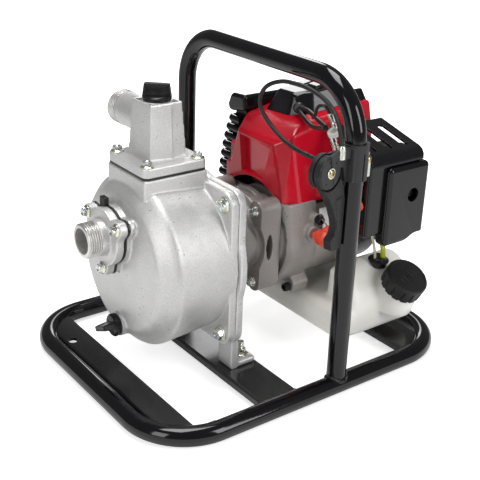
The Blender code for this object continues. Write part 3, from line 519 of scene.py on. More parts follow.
def strip_paint():
    """The same paint on the flat strips, thinner and more satin, with dust and rubbed edges."""
    made = Finish("strip paint")
    specks = made.spread(made.grain(1.1, 2.0), 0.68, 0.76)
    tone = made.mix(specks, (0.004, 0.004, 0.005), (0.03, 0.027, 0.025))
    tone = made.mix(made.edges(0.53, 0.60), tone, (0.05, 0.05, 0.05))
    made.relief(made.grain(3.2, 3.0), 0.03, 0.7)
    rough = made.spread(made.grain(26.0, 3.0), 0.3, 0.7, 0.12, 0.20)
    return made.done(base_color=tone, roughness=rough)


def plated_steel():
    """Zinc plating: cool and yellow tints over bright metal, with fine turning marks."""
    made = Finish("plated steel")
    tint = made.grain(4.0, 2.0)
    tone = made.mix(made.spread(tint, 0.35, 0.65), (0.66, 0.74, 0.80), (0.86, 0.84, 0.62))
    tone = made.mix(made.spread(made.grain(1.4, 4.0), 0.45, 0.8), tone, (0.52, 0.53, 0.50))
    made.relief(made.grain(0.5, 3.0), 0.025, 0.6)
    rough = made.spread(made.grain(2.2, 3.0), 0.3, 0.7, 0.16, 0.34)
    return made.done(base_color=tone, roughness=rough, metallic=1.0)


def machined(name, colour, roughness=0.27):
    """Turned metal with fine rings and slight staining."""
    made = Finish(name)
    stain = made.grain(6.0, 4.0)
    tone = made.mix(made.spread(stain, 0.35, 0.7), colour, shade(colour, 0.72))
    made.relief(made.grain(0.4, 3.0, stretch=(4.0, 1.0, 1.0)), 0.03, 0.6)
    rough = made.spread(stain, 0.3, 0.7, roughness * 0.8, roughness * 1.3)
    return made.done(base_color=tone, roughness=rough, metallic=1.0)


def rubber(name, colour, roughness=0.62):
    made = Finish(name)
    dust = made.grain(5.0, 5.0)
    tone = made.mix(made.spread(dust, 0.4, 0.75), colour, tuple(0.7 * c + 0.008 for c in colour))
    tone = made.mix(made.edges(0.53, 0.62), tone, tuple(c * 1.4 + 0.01 for c in colour))
    made.relief(made.grain(0.45, 3.0), 0.04, 0.8)
    rough = made.spread(dust, 0.3, 0.7, roughness * 0.85, roughness * 1.15)
    return made.done(base_color=tone, roughness=rough)


def milky(name="milky plastic"):
    """Translucent blow-moulded tank: soft scattering, waxy gloss, faint flow marks."""
    made = Finish(name)
    flow = made.grain(35.0, 3.0, stretch=(1.0, 1.0, 2.5))
    tone = made.mix(made.spread(flow, 0.3, 0.7), (0.88, 0.865, 0.80), (0.93, 0.925, 0.88))
    made.relief(made.grain(14.0, 2.0), 0.12, 0.5)
    made.relief(made.grain(0.8, 2.0), 0.015, 0.5)
    rough = made.spread(made.grain(9.0, 4.0), 0.3, 0.7, 0.26, 0.40)
    made.shader.subsurface_method = 'RANDOM_WALK'
    return made.done(base_color=tone, roughness=rough, subsurface_weight=0.35, subsurface_scale=0.012,
                     subsurface_radius=(1.0, 0.9, 0.7))


def clear_hose(name, colour):
    """Soft translucent fuel hose."""
    made = Finish(name)
    fuel = made.grain(7.0, 2.0)
    tone = made.mix(made.spread(fuel, 0.3, 0.7), colour, shade(colour, 0.82))
    made.relief(made.grain(2.5, 2.0), 0.05, 0.5)
    rough = made.spread(fuel, 0.3, 0.7, 0.14, 0.24)
    return made.done(base_color=tone, roughness=rough, transmission_weight=0.35)


def ceramic():
    made = Finish("white ceramic")
    craze = made.grain(3.0, 5.0)
    tone = made.mix(made.spread(craze, 0.4, 0.7), (0.84, 0.84, 0.81), (0.76, 0.75, 0.70))
    made.relief(made.grain(0.7, 2.0), 0.02, 0.6)
    rough = made.spread(craze, 0.3, 0.7, 0.16, 0.30)
    return made.done(base_color=tone, roughness=rough)


def braided_cord():
    """Starter cord: two strands of black with a light fleck."""
    made = Finish("cord")
    wave = made.node("ShaderNodeTexWave", {"Vector": made.place, "Scale": 700.0, "Distortion": 2.0,
                                           "Detail": 2.0}, bands_direction='DIAGONAL')
    fleck = made.spread(made.grain(0.7, 2.0), 0.66, 0.75)
    tone = made.mix(fleck, (0.025, 0.025, 0.025), (0.32, 0.32, 0.30))
    made.relief(wave.outputs["Fac"], 0.25, 1.0)
    return made.done(base_color=tone, roughness=made.spread(wave.outputs["Fac"], 0.0, 1.0, 0.9, 0.65))


ALUMINIUM = casting("cast aluminium", (0.76, 0.755, 0.75), 0.44, 0.60, (0.13, 0.12, 0.11))
ENGINE_METAL = casting("engine casting", (0.38, 0.355, 0.335), 0.50, 0.50, (0.09, 0.077, 0.067))
MACHINED_ALUMINIUM = casting("turned aluminium", (0.70, 0.69, 0.67), 0.34, 0.80, (0.25, 0.23, 0.21))
ENAMEL = enamel()
STRIP = strip_paint()
ZINC = plated_steel()
STEEL = machined("machined steel", (0.58, 0.58, 0.58))
BRONZE = machined("bronze", (0.45, 0.29, 0.13), 0.34)
BRASS = machined("yellow plated", (0.72, 0.58, 0.30), 0.26)
BLACK_RUBBER = rubber("black rubber", (0.006, 0.006, 0.006), 0.36)
RED_RUBBER = rubber("orange rubber", (0.86, 0.075, 0.035), 0.42)
BLACK = plastic("black plastic", (0.007, 0.007, 0.008), 0.28, texture=0.012, texture_size=0.9, scuffs=0.35, edge=2.2)
GLOSS_BLACK = plastic("gloss black plastic", (0.005, 0.005, 0.006), 0.15, coat=0.15, scuffs=0.5, edge=2.2)
GRAINED_BLACK = plastic("grained black plastic", (0.014, 0.014, 0.015), 0.48, texture=0.07, texture_size=0.8,
                        scuffs=0.2, edge=2.2)
RED = plastic("red plastic", (0.44, 0.004, 0.016), 0.20, coat=0.3, scuffs=0.4, edge=1.35)
MILKY = milky()
YELLOW_HOSE = clear_hose("yellow hose", (0.66, 0.70, 0.02))
CLEAR_HOSE = clear_hose("clear hose", (0.78, 0.74, 0.52))
CERAMIC = ceramic()
CORD = braided_cord()
SLOT_FINISHES = {
    "black_enamel": ENAMEL, "cast_aluminium": ALUMINIUM, "engine_casting": ENGINE_METAL,
    "zinc_steel": ZINC, "machined_steel": STEEL, "bronze": BRONZE, "black_rubber": BLACK_RUBBER,
    "black_plastic": BLACK, "red_plastic": RED, "orange_rubber": RED_RUBBER, "milky_plastic": MILKY,
    "yellow_hose": YELLOW_HOSE, "white_ceramic": CERAMIC, "cord": CORD,
}


def dress_cad_nodes():
    """Give every carried-over CAD node the finish of its slot."""
    for subpart in frame["record"]["subparts"]:
        node = frame["nodes"][subpart["node"]]
        node.data.materials.clear()
        node.data.materials.append(SLOT_FINISHES[subpart["material_slot"]])
        node.data.shade_smooth()
        node.data.set_sharp_from_angle(angle=math.radians(30))


# ---------------------------------------------------------------- carrying frame

TUBE = high("base_loop").z / 2
LOOP_X = high("base_loop").x - TUBE
LOOP_Y = high("base_loop").y - TUBE
LOOP_CORNER = 59.0
HOOP = middle("handle_hoop")
HOOP_Y = high("handle_hoop").y - TUBE
HOOP_TOP = high("handle_hoop").z - TUBE
HOOP_BEND = 53.0
STRIP_TOP = high("front_crossbar").z
STRIP_THICKNESS = 3.0
STRIP_FOLD = 2.6


def base_loop():
    corners = [(a * LOOP_X, b * LOOP_Y, TUBE) for a, b in ((1, 1), (-1, 1), (-1, -1), (1, -1))]
    loop = sweep(arc_path(corners, LOOP_CORNER, 20, closed=True), TUBE, 40, closed=True, up=(0, 0, 1))
    piece("carrying_loop", loop, ENAMEL, stands_for=["base_loop"])


def handle_hoop():
    corners = [(HOOP.x, -HOOP_Y, TUBE), (HOOP.x, -HOOP_Y, HOOP_TOP),
               (HOOP.x, HOOP_Y, HOOP_TOP), (HOOP.x, HOOP_Y, TUBE)]
    hoop = sweep(arc_path(corners, HOOP_BEND, 24), TUBE, 40, up=(1, 0, 0))
    piece("carrying_hoop", hoop, ENAMEL, stands_for=["handle_hoop"])


def weld_bead(name, points, radius, closed=False):
    """A lumpy bead of weld metal under paint, rippled along its length."""
    path = [Vector(point) for point in points]
    length = sum((b - a).length for a, b in zip(path, path[1:]))
    ripples = length / 1.7

    def size(share):
        place = path[min(len(path) - 1, round(share * (len(path) - 1)))]
        return radius * (1 + 0.10 * math.sin(math.tau * ripples * share) + 0.25 * noise.noise(place / 4.0))

    piece(name, sweep(path, size, 14, closed=closed), ENAMEL, weighted=False)


def leg_welds():
    """The saddle-shaped bead where each leg of the hoop stands on its rail."""
    steps = 120
    for side, label in ((-1, "near"), (1, "far")):
        ring = []
        for k in range(steps):
            turn = math.tau * k / steps
            y = side * HOOP_Y + TUBE * math.sin(turn)
            from_rail = y - side * LOOP_Y
            rise = math.sqrt(max(0.0, TUBE ** 2 - min(abs(from_rail), TUBE) ** 2))
            ring.append((HOOP.x + TUBE * math.cos(turn), y, TUBE + rise))
        weld_bead(f"leg_weld_{label}", ring, 2.1, closed=True)


def crossbar(node, holes=()):
    """A strip with a folded front lip, its ends cut to the inside of the base loop."""
    x_low, x_high = low(node).x, high(node).x
    bottom = low(node).z
    reach = LOOP_Y
    under = STRIP_TOP - STRIP_THICKNESS
    fold = [(x_high, STRIP_TOP), (x_high, under), (x_low + STRIP_THICKNESS, under),
            (x_low + STRIP_THICKNESS, bottom), (x_low, bottom)]
    bend = [(x_low + STRIP_FOLD * (1 - math.sin(t)), STRIP_TOP - STRIP_FOLD * (1 - math.cos(t)))
            for t in [math.radians(90) * (1 - k / 6) for k in range(7)]]
    strip = prism(fold + bend, "y", -reach, reach)
    inside = rounded_rectangle((0, 0), LOOP_X - TUBE + 0.6, LOOP_Y - TUBE + 0.6, LOOP_CORNER - TUBE + 0.6, 16)
    strip = keep_inside(strip, prism(inside, "z", 0, 20))
    if holes:
        strip = cut(strip, *[rod((*hole, 0), (*hole, 20), 4.75, sides=40) for hole in holes])
    soften(strip, 0.45, 2, 35)
    piece(f"{node}_strip", strip, STRIP, stands_for=[node])
    for side, label in ((-1, "near"), (1, "far")):
        y = side * (LOOP_Y - TUBE + 0.6)
        inset = 4.0
        corner = max(0.0, abs(x_high if side else 0) - (LOOP_X - LOOP_CORNER))
        start, end = sorted((x_low, x_high), key=abs)
        reach_x = math.copysign(min(abs(end), LOOP_X - LOOP_CORNER + 0.55 * corner), end)
        if abs(start) > LOOP_X - LOOP_CORNER:
            start = math.copysign(LOOP_X - LOOP_CORNER, start)
        first, last = sorted((start, reach_x))
        count = max(12, round(abs(last - first) * 2))
        path = [(first + (last - first) * k / count, y, STRIP_TOP - 0.4) for k in range(count + 1)]
        if abs(last - first) > inset:
            weld_bead(f"{node}_weld_{label}", path, 1.3)


# ---------------------------------------------------------------- fasteners

HEAD_STEPS = 6


def hexagon(across):
    corner = across / math.sqrt(3)
    return [(corner * math.cos(math.tau * k / 6), corner * math.sin(math.tau * k / 6)) for k in range(6)]


def flange_bolt(across, height, washer, shank, length):
    """A flanged hex head with chamfered corners and a dished top, seated at z = 0."""
    corner = across / math.sqrt(3)
    head = keep_inside(prism(hexagon(across), "z", 0.6, height),
                       lathe([(0, 0), (0, corner + 1), (height - corner * 0.28, corner + 0.2),
                              (height, across / 2 - 0.2), (height, 0)], sides=48))
    skirt = lathe([(-0.01, 0), (-0.01, washer - 0.3), (0.3, washer), (1.0, washer), (1.3, washer - 0.4),
                   (2.3, corner * 0.96), (2.3, 0)], sides=48)
    bolt = join(skirt, head, rod((0, 0, -length), (0, 0, 1), shank, sides=24))
    dish = lathe([(height - 0.9, 0), (height - 0.7, across * 0.22), (height + 0.1, across * 0.34),
                  (height + 1, across * 0.34), (height + 1, 0)], sides=32)
    return soften(cut(bolt, dish), 0.22, 2, 40)


def socket_screw(radius, height, shank, length):
    """A cylinder-head screw with a hex socket and a knurled rim."""
    def knurl(along, reach, turn):
        return 0.12 * math.cos(36 * turn) if 0.8 < along < height - 0.8 and reach > radius - 0.2 else 0.0

    profile = [(0, 0), (0, radius - 0.3), (0.4, radius), (1.0, radius), (height - 1.0, radius),
               (height - 0.5, radius), (height, radius - 0.6), (height, 0)]
    screw = join(lathe(profile, sides=144, ripple=knurl), rod((0, 0, -length), (0, 0, 1), shank, sides=20))
    return cut(screw, prism(hexagon(radius * 1.05), "z", height * 0.35, height + 2))


def cross_screw(radius, height, shank, length):
    """A pan-head screw with a cross recess."""
    dome = [(0, 0), (0, radius)]
    dome += [(height * math.sin(t), radius * math.cos(t) ** 0.7)
             for t in [math.radians(85) * k / 8 for k in range(1, 9)]]
    dome.append((height, 0))
    screw = join(lathe(dome, sides=40), rod((0, 0, -length), (0, 0, 0.5), shank, sides=20))
    arm = radius * 0.55
    slot = radius * 0.14
    return cut(screw, join(block((-arm, arm), (-slot, slot), (height * 0.45, height + 2)),
                           block((-slot, slot), (-arm, arm), (height * 0.45, height + 2))))


def hex_nut(across, height, washer, bore):
    corner = across / math.sqrt(3)
    nut = keep_inside(prism(hexagon(across), "z", 0.5, height),
                      lathe([(0, 0), (0, corner + 1), (height - 1.2, corner + 0.2),
                             (height, across / 2 - 0.2), (height, 0)], sides=48))
    skirt = lathe([(0, 0), (0, washer), (0.9, washer), (2.0, corner * 0.96), (2.0, 0)], sides=48)
    return cut(join(nut, skirt), rod((0, 0, -2), (0, 0, height + 2), bore, sides=32))


def threaded(base, direction, length, radius, bore, pitch, depth, step=0.3, sides=72, lead=1.0):
    """A length of V thread that fades out at both ends; a bore of 0 makes it a solid stud."""
    def ripple(along, reach, turn):
        if reach < radius - depth - 0.01:
            return 0.0
        phase = (along / pitch + turn / math.tau) % 1.0
        ridge = 1 - abs(2 * phase - 1)
        fade = min(1.0, along / (pitch * lead), (length - along) / (pitch * 0.9))
        chamfer = min(0.0, along * 1.1 - depth)
        return min(-depth * (1 - min(1.0, ridge * 1.25)) * max(fade, 0.0), chamfer)

    rows = max(4, round(length / step))
    outer = [(length * k / rows, radius) for k in range(rows + 1)]
    if bore:
        profile = outer + [(length, bore), (0, bore)]
        return lathe(profile, base, direction, sides, closed=True, ripple=ripple)
    return lathe([(0, 0)] + outer + [(length, 0)], base, direction, sides, ripple=ripple)


# ---------------------------------------------------------------- pump

BODY_REAR = high("pump_body").x
BODY_RADIUS = (high("pump_body").y - low("pump_body").y) / 2
FLANGE = (high("pump_bracket").y - low("pump_bracket").y) / 2
BOLT_OFFSET = middle("body_bolt_1").z - AXIS_Z
INLET_Z = pivot("flap_swing").z - 16.0
INLET_END = low("inlet_flange").x
PIPE_RADIUS = 16.62
PIPE_BORE = 12.5
PORT_X = pivot("priming_unscrew").x
PORT_HALF = (high("outlet_gasket").x - low("outlet_gasket").x) / 2
NECK_TOP = low("outlet_gasket").z - 0.3
TOWER_TOP = pivot("priming_unscrew").z
OUTLET_Z = 254.0
OUTLET_END = high("outlet_elbow").y
DRAIN = pivot("drain_unscrew")
LOBES = [math.radians(turn) for turn in (30, 150, 270)]
LOBE_REACH = 31.5


def lobe_place(x, turn):
    return Vector((x, AXIS_Y + LOBE_REACH * math.cos(turn), INLET_Z + LOBE_REACH * math.sin(turn)))


def lobed(x, grow=0.0):
    """The three-eared plate about the inlet, between the two places in x."""
    outline = []
    count = 180
    for k in range(count):
        turn = math.tau * k / count
        off = min(abs((turn - lobe + math.pi) % math.tau - math.pi) for lobe in LOBES)
        radius = 27.5 + grow + 11.2 * math.exp(-(off / math.radians(15.5)) ** 3.2)
        outline.append((AXIS_Y + radius * math.cos(turn), INLET_Z + radius * math.sin(turn)))
    return prism(outline, "x", *x)


def pump_body():
    shoulder = [(-119, 84.6), (-122, 83.8), (-125.5, 81.2), (-133, 73.6), (-135.6, 70.3), (-137.2, 66.5)]
    outer = [(BODY_REAR, 0), (BODY_REAR, FLANGE + 2.0), (-66, FLANGE + 2.5), *shoulder, (-139.4, 40), (-139.6, 0)]
    inner = [(-50, 0), (-50, FLANGE - 3.0), (-66, FLANGE - 2.5), (-117, 80), (-121.5, 77), (-129, 69.5), (-132.6, 63), (-134.4, 52), (-134.4, 0)]
    neck_x = (PORT_X - PORT_HALF, PORT_X + PORT_HALF)
    neck_y = (AXIS_Y - PORT_HALF, AXIS_Y + PORT_HALF)
    throat = PORT_HALF - 6
    flange = prism(rounded_rectangle((AXIS_Y, AXIS_Z), FLANGE, FLANGE, 13), "x", -64.5, BODY_REAR)
    body = join(lathe(outer, on_axis(0), (1, 0, 0), 96), flange,
                block(neck_x, neck_y, (AXIS_Z + 40, NECK_TOP), 2.0),
                lobed((-144.5, -130)),
                along_x((-141.5, -130), 12.0, dz=DRAIN.z - AXIS_Z))
    body = cut(body, lathe(inner, on_axis(0), (1, 0, 0), 96),
               block((PORT_X - throat, PORT_X + throat), (AXIS_Y - throat, AXIS_Y + throat),
                     (AXIS_Z + 30, NECK_TOP + 9)),
               along_x((-150, -120), 18.5, dz=INLET_Z - AXIS_Z),
               along_x((-150, -120), 7.6, dz=DRAIN.z - AXIS_Z))
    cast(body, 1.15, 5, rough=0.10)
    piece("pump_casing", body, ALUMINIUM, stands_for=["pump_body"], weighted=False)


def pump_bracket():
    """Rear plate, ribbed boss and feet. The pads carry studs with nuts."""
    front, rear = low("pump_bracket").x, -47.5
    boss_end = high("pump_bracket").x
    plate = prism(rounded_rectangle((AXIS_Y, AXIS_Z), FLANGE, FLANGE, 13), "x", front, rear)
    parts = [along_x((rear - 1, boss_end), 38), along_x((front + 0.6, rear - 0.4), 83.5, sides=120)]
    for dy, dz in corners_of(34):
        parts.append(along_x((rear - 1, boss_end - 0.02), 9.5, dy, dz, 32))
    for k in range(8):
        turn = math.tau * (k + 0.5) / 8
        rib = hull([(x, AXIS_Y + (reach * math.cos(turn) - w * math.sin(turn)),
                     AXIS_Z + (reach * math.sin(turn) + w * math.cos(turn)))
                    for x, reach in ((rear - 1, 30), (rear - 1, 70), (rear + 17, 30), (rear + 3, 66),
                                     (rear + 17, 38)) for w in (-2.2, 2.2)])
        parts.append(rib)
    for side in (-1, 1):
        inner, outer = AXIS_Y + side * 50, AXIS_Y + side * 73
        y = tuple(sorted((inner, outer)))
        parts.append(block((front + 0.01, rear - 0.01), y, (STRIP_TOP + 0.3, 60)))
        parts.append(block((rear - 2, -26), y, (STRIP_TOP + 0.3, 21), 2.4))
        web = y[1] if side < 0 else y[0]
        parts.append(hull([(x, web - side * 0 + w, z) for w in (-4.0, 0.0)
                           for x, z in ((rear - 1, 20), (rear - 1, 48), (rear + 5, 40), (-31, 20))]))
    bracket = join(plate, *parts)
    bracket = cut(bracket, along_x((rear - 0.5, 10), 30), along_x((-60, -40), 13.2),
                  *[rod((-36, AXIS_Y + side * 61, 10), (-36, AXIS_Y + side * 61, 30), 3.2, sides=24)
                    for side in (-1, 1)])
    cast(bracket, 1.1, 4, rough=0.12)
    piece("bracket_casting", bracket, ALUMINIUM, stands_for=["pump_bracket"], weighted=False)
    studs = [Matrix.Translation((-36, AXIS_Y + side * 61, STRIP_TOP)) for side in (-1, 1)]
    stud = threaded((0, 0, 0), (0, 0, 1), 21, 3.0, 0, 1.0, 0.45, step=0.16, sides=32)
    copies("foot_stud", stud, studs, ZINC)
    nuts = [Matrix.Translation((-36, AXIS_Y + side * 61, 21.0)) @ Matrix.Rotation(0.4 * side, 4, 'Z')
            for side in (-1, 1)]
    copies("foot_nut", hex_nut(9.5, 6.5, 7.0, 3.05), nuts, ZINC)
    seam = prism(rounded_rectangle((AXIS_Y, AXIS_Z), FLANGE - 0.8, FLANGE - 0.8, 13), "x",
                 BODY_REAR - 0.1, front + 0.1)
    seam = cut(seam, along_x((-70, -40), 60))
    piece("casing_seam", seam, BLACK_RUBBER)


def body_bolts():
    turns = random.Random(4)
    places = [aimed((-64.5, AXIS_Y + dy, AXIS_Z + dz), (-1, 0, 0), turns.uniform(0, 1))
              for dy, dz in corners_of(BOLT_OFFSET)]
    copies("casing_bolt", flange_bolt(11.0, 6.4, 7.9, 4.0, 14), places, ZINC)
    for k in range(1, 5):
        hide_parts(f"body_bolt_{k}")


def inlet():
    """The threaded inlet with its eared flange, its gasket with a tab, and three bolts."""
    front, rear = low("inlet_flange").x, high("inlet_flange").x
    face = -155.0
    collar = lathe([(-163.0, 0), (-163.0, 15.3), (-162, 16.9), (face + 1, 17.8), (face + 3, 17.8),
                    (face + 3, 0)], (0, AXIS_Y, INLET_Z), (1, 0, 0), 72)
    flange = cut(join(lobed((face, rear)), collar),
                 rod((face - 12, AXIS_Y, INLET_Z), (rear + 5, AXIS_Y, INLET_Z), PIPE_BORE, sides=64))
    cast(flange, 0.85, 4, rough=0.06)
    piece("inlet_connector", flange, ALUMINIUM, stands_for=["inlet_flange"], weighted=False)
    thread = threaded((front, AXIS_Y, INLET_Z), (1, 0, 0), 14.5, PIPE_RADIUS, PIPE_BORE, 2.31, 1.45, step=0.2,
                      sides=96, lead=0.7)
    piece("inlet_thread", thread, MACHINED_ALUMINIUM, crisp=60, weighted=False)
    gasket_x = (low("inlet_gasket").x, high("inlet_gasket").x)
    gasket = lobed(gasket_x, 0.5)
    gasket = cut(gasket, rod((-150, AXIS_Y, INLET_Z), (-140, AXIS_Y, INLET_Z), PIPE_BORE))
    piece("inlet_seal", soften(gasket, 0.3, 2, 40), BLACK_RUBBER, stands_for=["inlet_gasket"])
    tab = block((gasket_x[0] - 3.2, gasket_x[1] + 0.2), (11.5, 20.5), (INLET_Z + 22, INLET_Z + 35.5), 0.8)
    grooves = [block((gasket_x[0] - 4, gasket_x[0] - 2.9), (y, y + 0.9), (INLET_Z + 24, INLET_Z + 34.5))
               for y in (13.2, 15.6, 18.0)]
    piece("inlet_seal_tab", cut(tab, *grooves), BLACK_RUBBER)
    turns = random.Random(7)
    places = [aimed(lobe_place(face, turn), (-1, 0, 0), turns.uniform(0, 1)) for turn in LOBES]
    copies("inlet_bolt", flange_bolt(8.0, 5.6, 6.2, 2.6, 8), places, ZINC)


def outlet():
    """The square-footed outlet tower with its side pipe."""
    foot = low("outlet_elbow").z
    square = rounded_rectangle((PORT_X, AXIS_Y), PORT_HALF, PORT_HALF, 6.5, 8)
    gasket = cut(prism(square, "z", NECK_TOP - 0.1, foot + 0.1),
                 prism(rounded_rectangle((PORT_X, AXIS_Y), PORT_HALF - 9, PORT_HALF - 9, 6), "z",
                       NECK_TOP - 5, foot + 5))
    piece("outlet_seal", soften(gasket, 0.3, 2, 40), BLACK_RUBBER, stands_for=["outlet_gasket"])
    wide, narrow = 19.8, 16.4
    crease = 3.5
    corners = []
    for half, z in ((wide, foot + 5), (narrow, TOWER_TOP)):
        corners += [(PORT_X + a * half, AXIS_Y + b * half, z) for a in (-1, 1) for b in (-1, 1)]
        corners.append((PORT_X + crease, AXIS_Y - half - 1.0, z))
    skirt = [(PORT_X + a * half, AXIS_Y + b * half, z) for half, z in ((wide + 2.5, foot + 7), (wide, foot + 11))
             for a in (-1, 1) for b in (-1, 1)]
    tower = join(hull(corners), hull(skirt))
    parting = hull([(PORT_X + crease + w, AXIS_Y - half - reach, z) for half, z in ((wide, foot + 8),
                   (narrow, TOWER_TOP - 6)) for w, reach in ((-0.9, 0.5), (0.9, 0.5), (0, 1.7))])
    pipe = lathe([(-4, 0), (-4, 17.6), (14, 17.6), (22, PIPE_RADIUS - 0.3), (OUTLET_END - AXIS_Y - 12.5, PIPE_RADIUS - 0.3),
                  (OUTLET_END - AXIS_Y - 12.5, 0)], (PORT_X, AXIS_Y, OUTLET_Z), (0, 1, 0), 96)
    elbow = join(prism(square, "z", foot, foot + 8.5), tower, parting, pipe)
    hollow = hull([(PORT_X + a * half, AXIS_Y + b * half, z) for half, z in ((15.5, foot - 5), (12.5, TOWER_TOP - 12))
                   for a in (-1, 1) for b in (-1, 1)])
    rim = 1.7
    moat = hull([(PORT_X + a * half, AXIS_Y + b * half, z)
                 for half, z in ((narrow - rim - 0.4, TOWER_TOP - 5), (narrow - rim, TOWER_TOP + 5))
                 for a in (-1, 1) for b in (-1, 1)])
    moat = cut(moat, rod((PORT_X, AXIS_Y, TOWER_TOP - 9), (PORT_X, AXIS_Y, TOWER_TOP), 13.7))
    elbow = cut(elbow, hollow, rod((PORT_X, AXIS_Y, OUTLET_Z), (PORT_X, OUTLET_END + 9, OUTLET_Z), PIPE_BORE),
                rod((PORT_X, AXIS_Y, OUTLET_Z), (PORT_X, AXIS_Y, TOWER_TOP + 9), 10.6), moat)
    cast(elbow, 0.75, 3, rough=0.08)
    piece("outlet_tower", elbow, ALUMINIUM, stands_for=["outlet_elbow"], weighted=False)
    thread = threaded((PORT_X, OUTLET_END, OUTLET_Z), (0, -1, 0), 14.0, PIPE_RADIUS, PIPE_BORE, 2.31, 1.3,
                      step=0.2, sides=96, lead=0.7)
    piece("outlet_thread", thread, MACHINED_ALUMINIUM, crisp=60, weighted=False)
    turns = random.Random(11)
    reach = PORT_HALF - 7.0
    places = [aimed((PORT_X + a * reach, AXIS_Y + b * reach, foot + 8.4), (0, 0, 1), turns.uniform(0, 1))
              for a in (-1, 1) for b in (-1, 1)]
    copies("outlet_bolt", flange_bolt(8.0, 5.8, 6.4, 2.6, 8), places, ZINC)


def wing_plug(head, wing, thread):
    """A moulded plug standing on z = 0: round skirt, tapered grip wing and threaded stem."""
    radius, height = head
    half, rise, thick = wing
    skirt = lathe([(0, 0), (0, radius - 0.5), (0.5, radius), (height - 1.4, radius), (height - 0.3, radius - 0.9),
                   (height + 0.3, radius - 2.2), (height + 0.6, 0)], sides=64)
    top = height + rise
    grip = hull([(a * x, b * y, z) for x, y, z in ((half * 1.06, thick * 1.25, height - 2), (half, thick, height + 3),
                 (half * 0.92, thick * 0.8, top)) for a in (-1, 1) for b in (-1, 1)])
    grip = soften(grip, 1.3, 4, 20)
    for side in (-1, 1):
        scoop = lathe([(-9.0, 0), (-9.0, 26), (9.0, 26), (9.0, 0)], (0, side * (thick * 0.72 + 26), height + 9),
                      (1, 0, 0), 96)
        grip = cut(grip, scoop)
    stem = threaded((0, 0, 0.1), (0, 0, -1), thread[1], thread[0], 0, 2.0, 0.9, step=0.25, sides=48, lead=0.5)
    plug = join(skirt, grip)
    return plug, stem


def plugs():
    """The priming plug on the tower and the drain plug on the casing, each with its seal."""
    priming = pivot("priming_unscrew")
    seat = low("priming_plug_seal").z
    plug, stem = wing_plug((13.6, 2.6), (12.8, 11.0, 3.2), (9.7, 11.0))
    place = aimed(priming + Vector((0, 0, 2.0)), (0, 0, 1), math.radians(-40))
    piece("priming_wing", transformed(plug, place), BLACK, "priming_plug",
          stands_for=["priming_plug"])
    piece("priming_stem", transformed(stem, place), BLACK, "priming_plug", crisp=60)
    seal = lathe(ring_profile(10.4, 13.2, 1.6), (priming.x, priming.y, seat), (0, 0, 1), 64, closed=True)
    piece("priming_ring", seal, BLACK_RUBBER, "priming_seal", stands_for=["priming_plug_seal"])
    plug, stem = wing_plug((11.4, 4.2), (10.8, 13.0, 3.3), (6.7, 10.0))
    place = aimed(DRAIN + Vector((-2.0, 0, 0)), (-1, 0, 0), math.radians(25))
    piece("drain_wing", transformed(plug, place), BLACK, "drain_plug", stands_for=["drain_plug"])
    piece("drain_stem", transformed(stem, place), BLACK, "drain_plug", crisp=60)
    seal = lathe(ring_profile(7.3, 11.2, 1.6), DRAIN + Vector((-0.3, 0, 0)), (-1, 0, 0), 64, closed=True)
    piece("drain_ring", seal, BLACK_RUBBER, "drain_seal", stands_for=["drain_plug_seal"])


def ring_profile(inner, outer, thickness):
    corners = [(0, inner), (0, outer), (thickness, outer), (thickness, inner)]
    return [(x, y) for x, y in rounded_outline(corners, 0.45, 4)]


# ---------------------------------------------------------------- engine

FAN_FRONT = low("fan_housing").x
FAN_REAR = high("fan_housing").x
FAN_RADIUS = 60.0
FAN_TOP = 164.5
EAR_OFFSET = 38.0
EAR_FACE = -6.0
SHROUD_FOOT = 163.5
CYLINDER_X = middle("cylinder").x
STARTER = middle("starter_drum").x
ROPE_Y = middle("starter_rope").y
SHROUD = [(19, 56, 160), (20, -38, 160), (38, -46, 160), (135, -44, 160), (135, 62, 160), (40, 62, 160),
          (17, 34, 222), (17, -24, 222), (30, -37, 231), (136, -38, 224), (136, 56, 222), (40, 54, 224),
          (40, 49, 234), (40, -30, 239), (133, -34, 254), (133, 48, 254)]


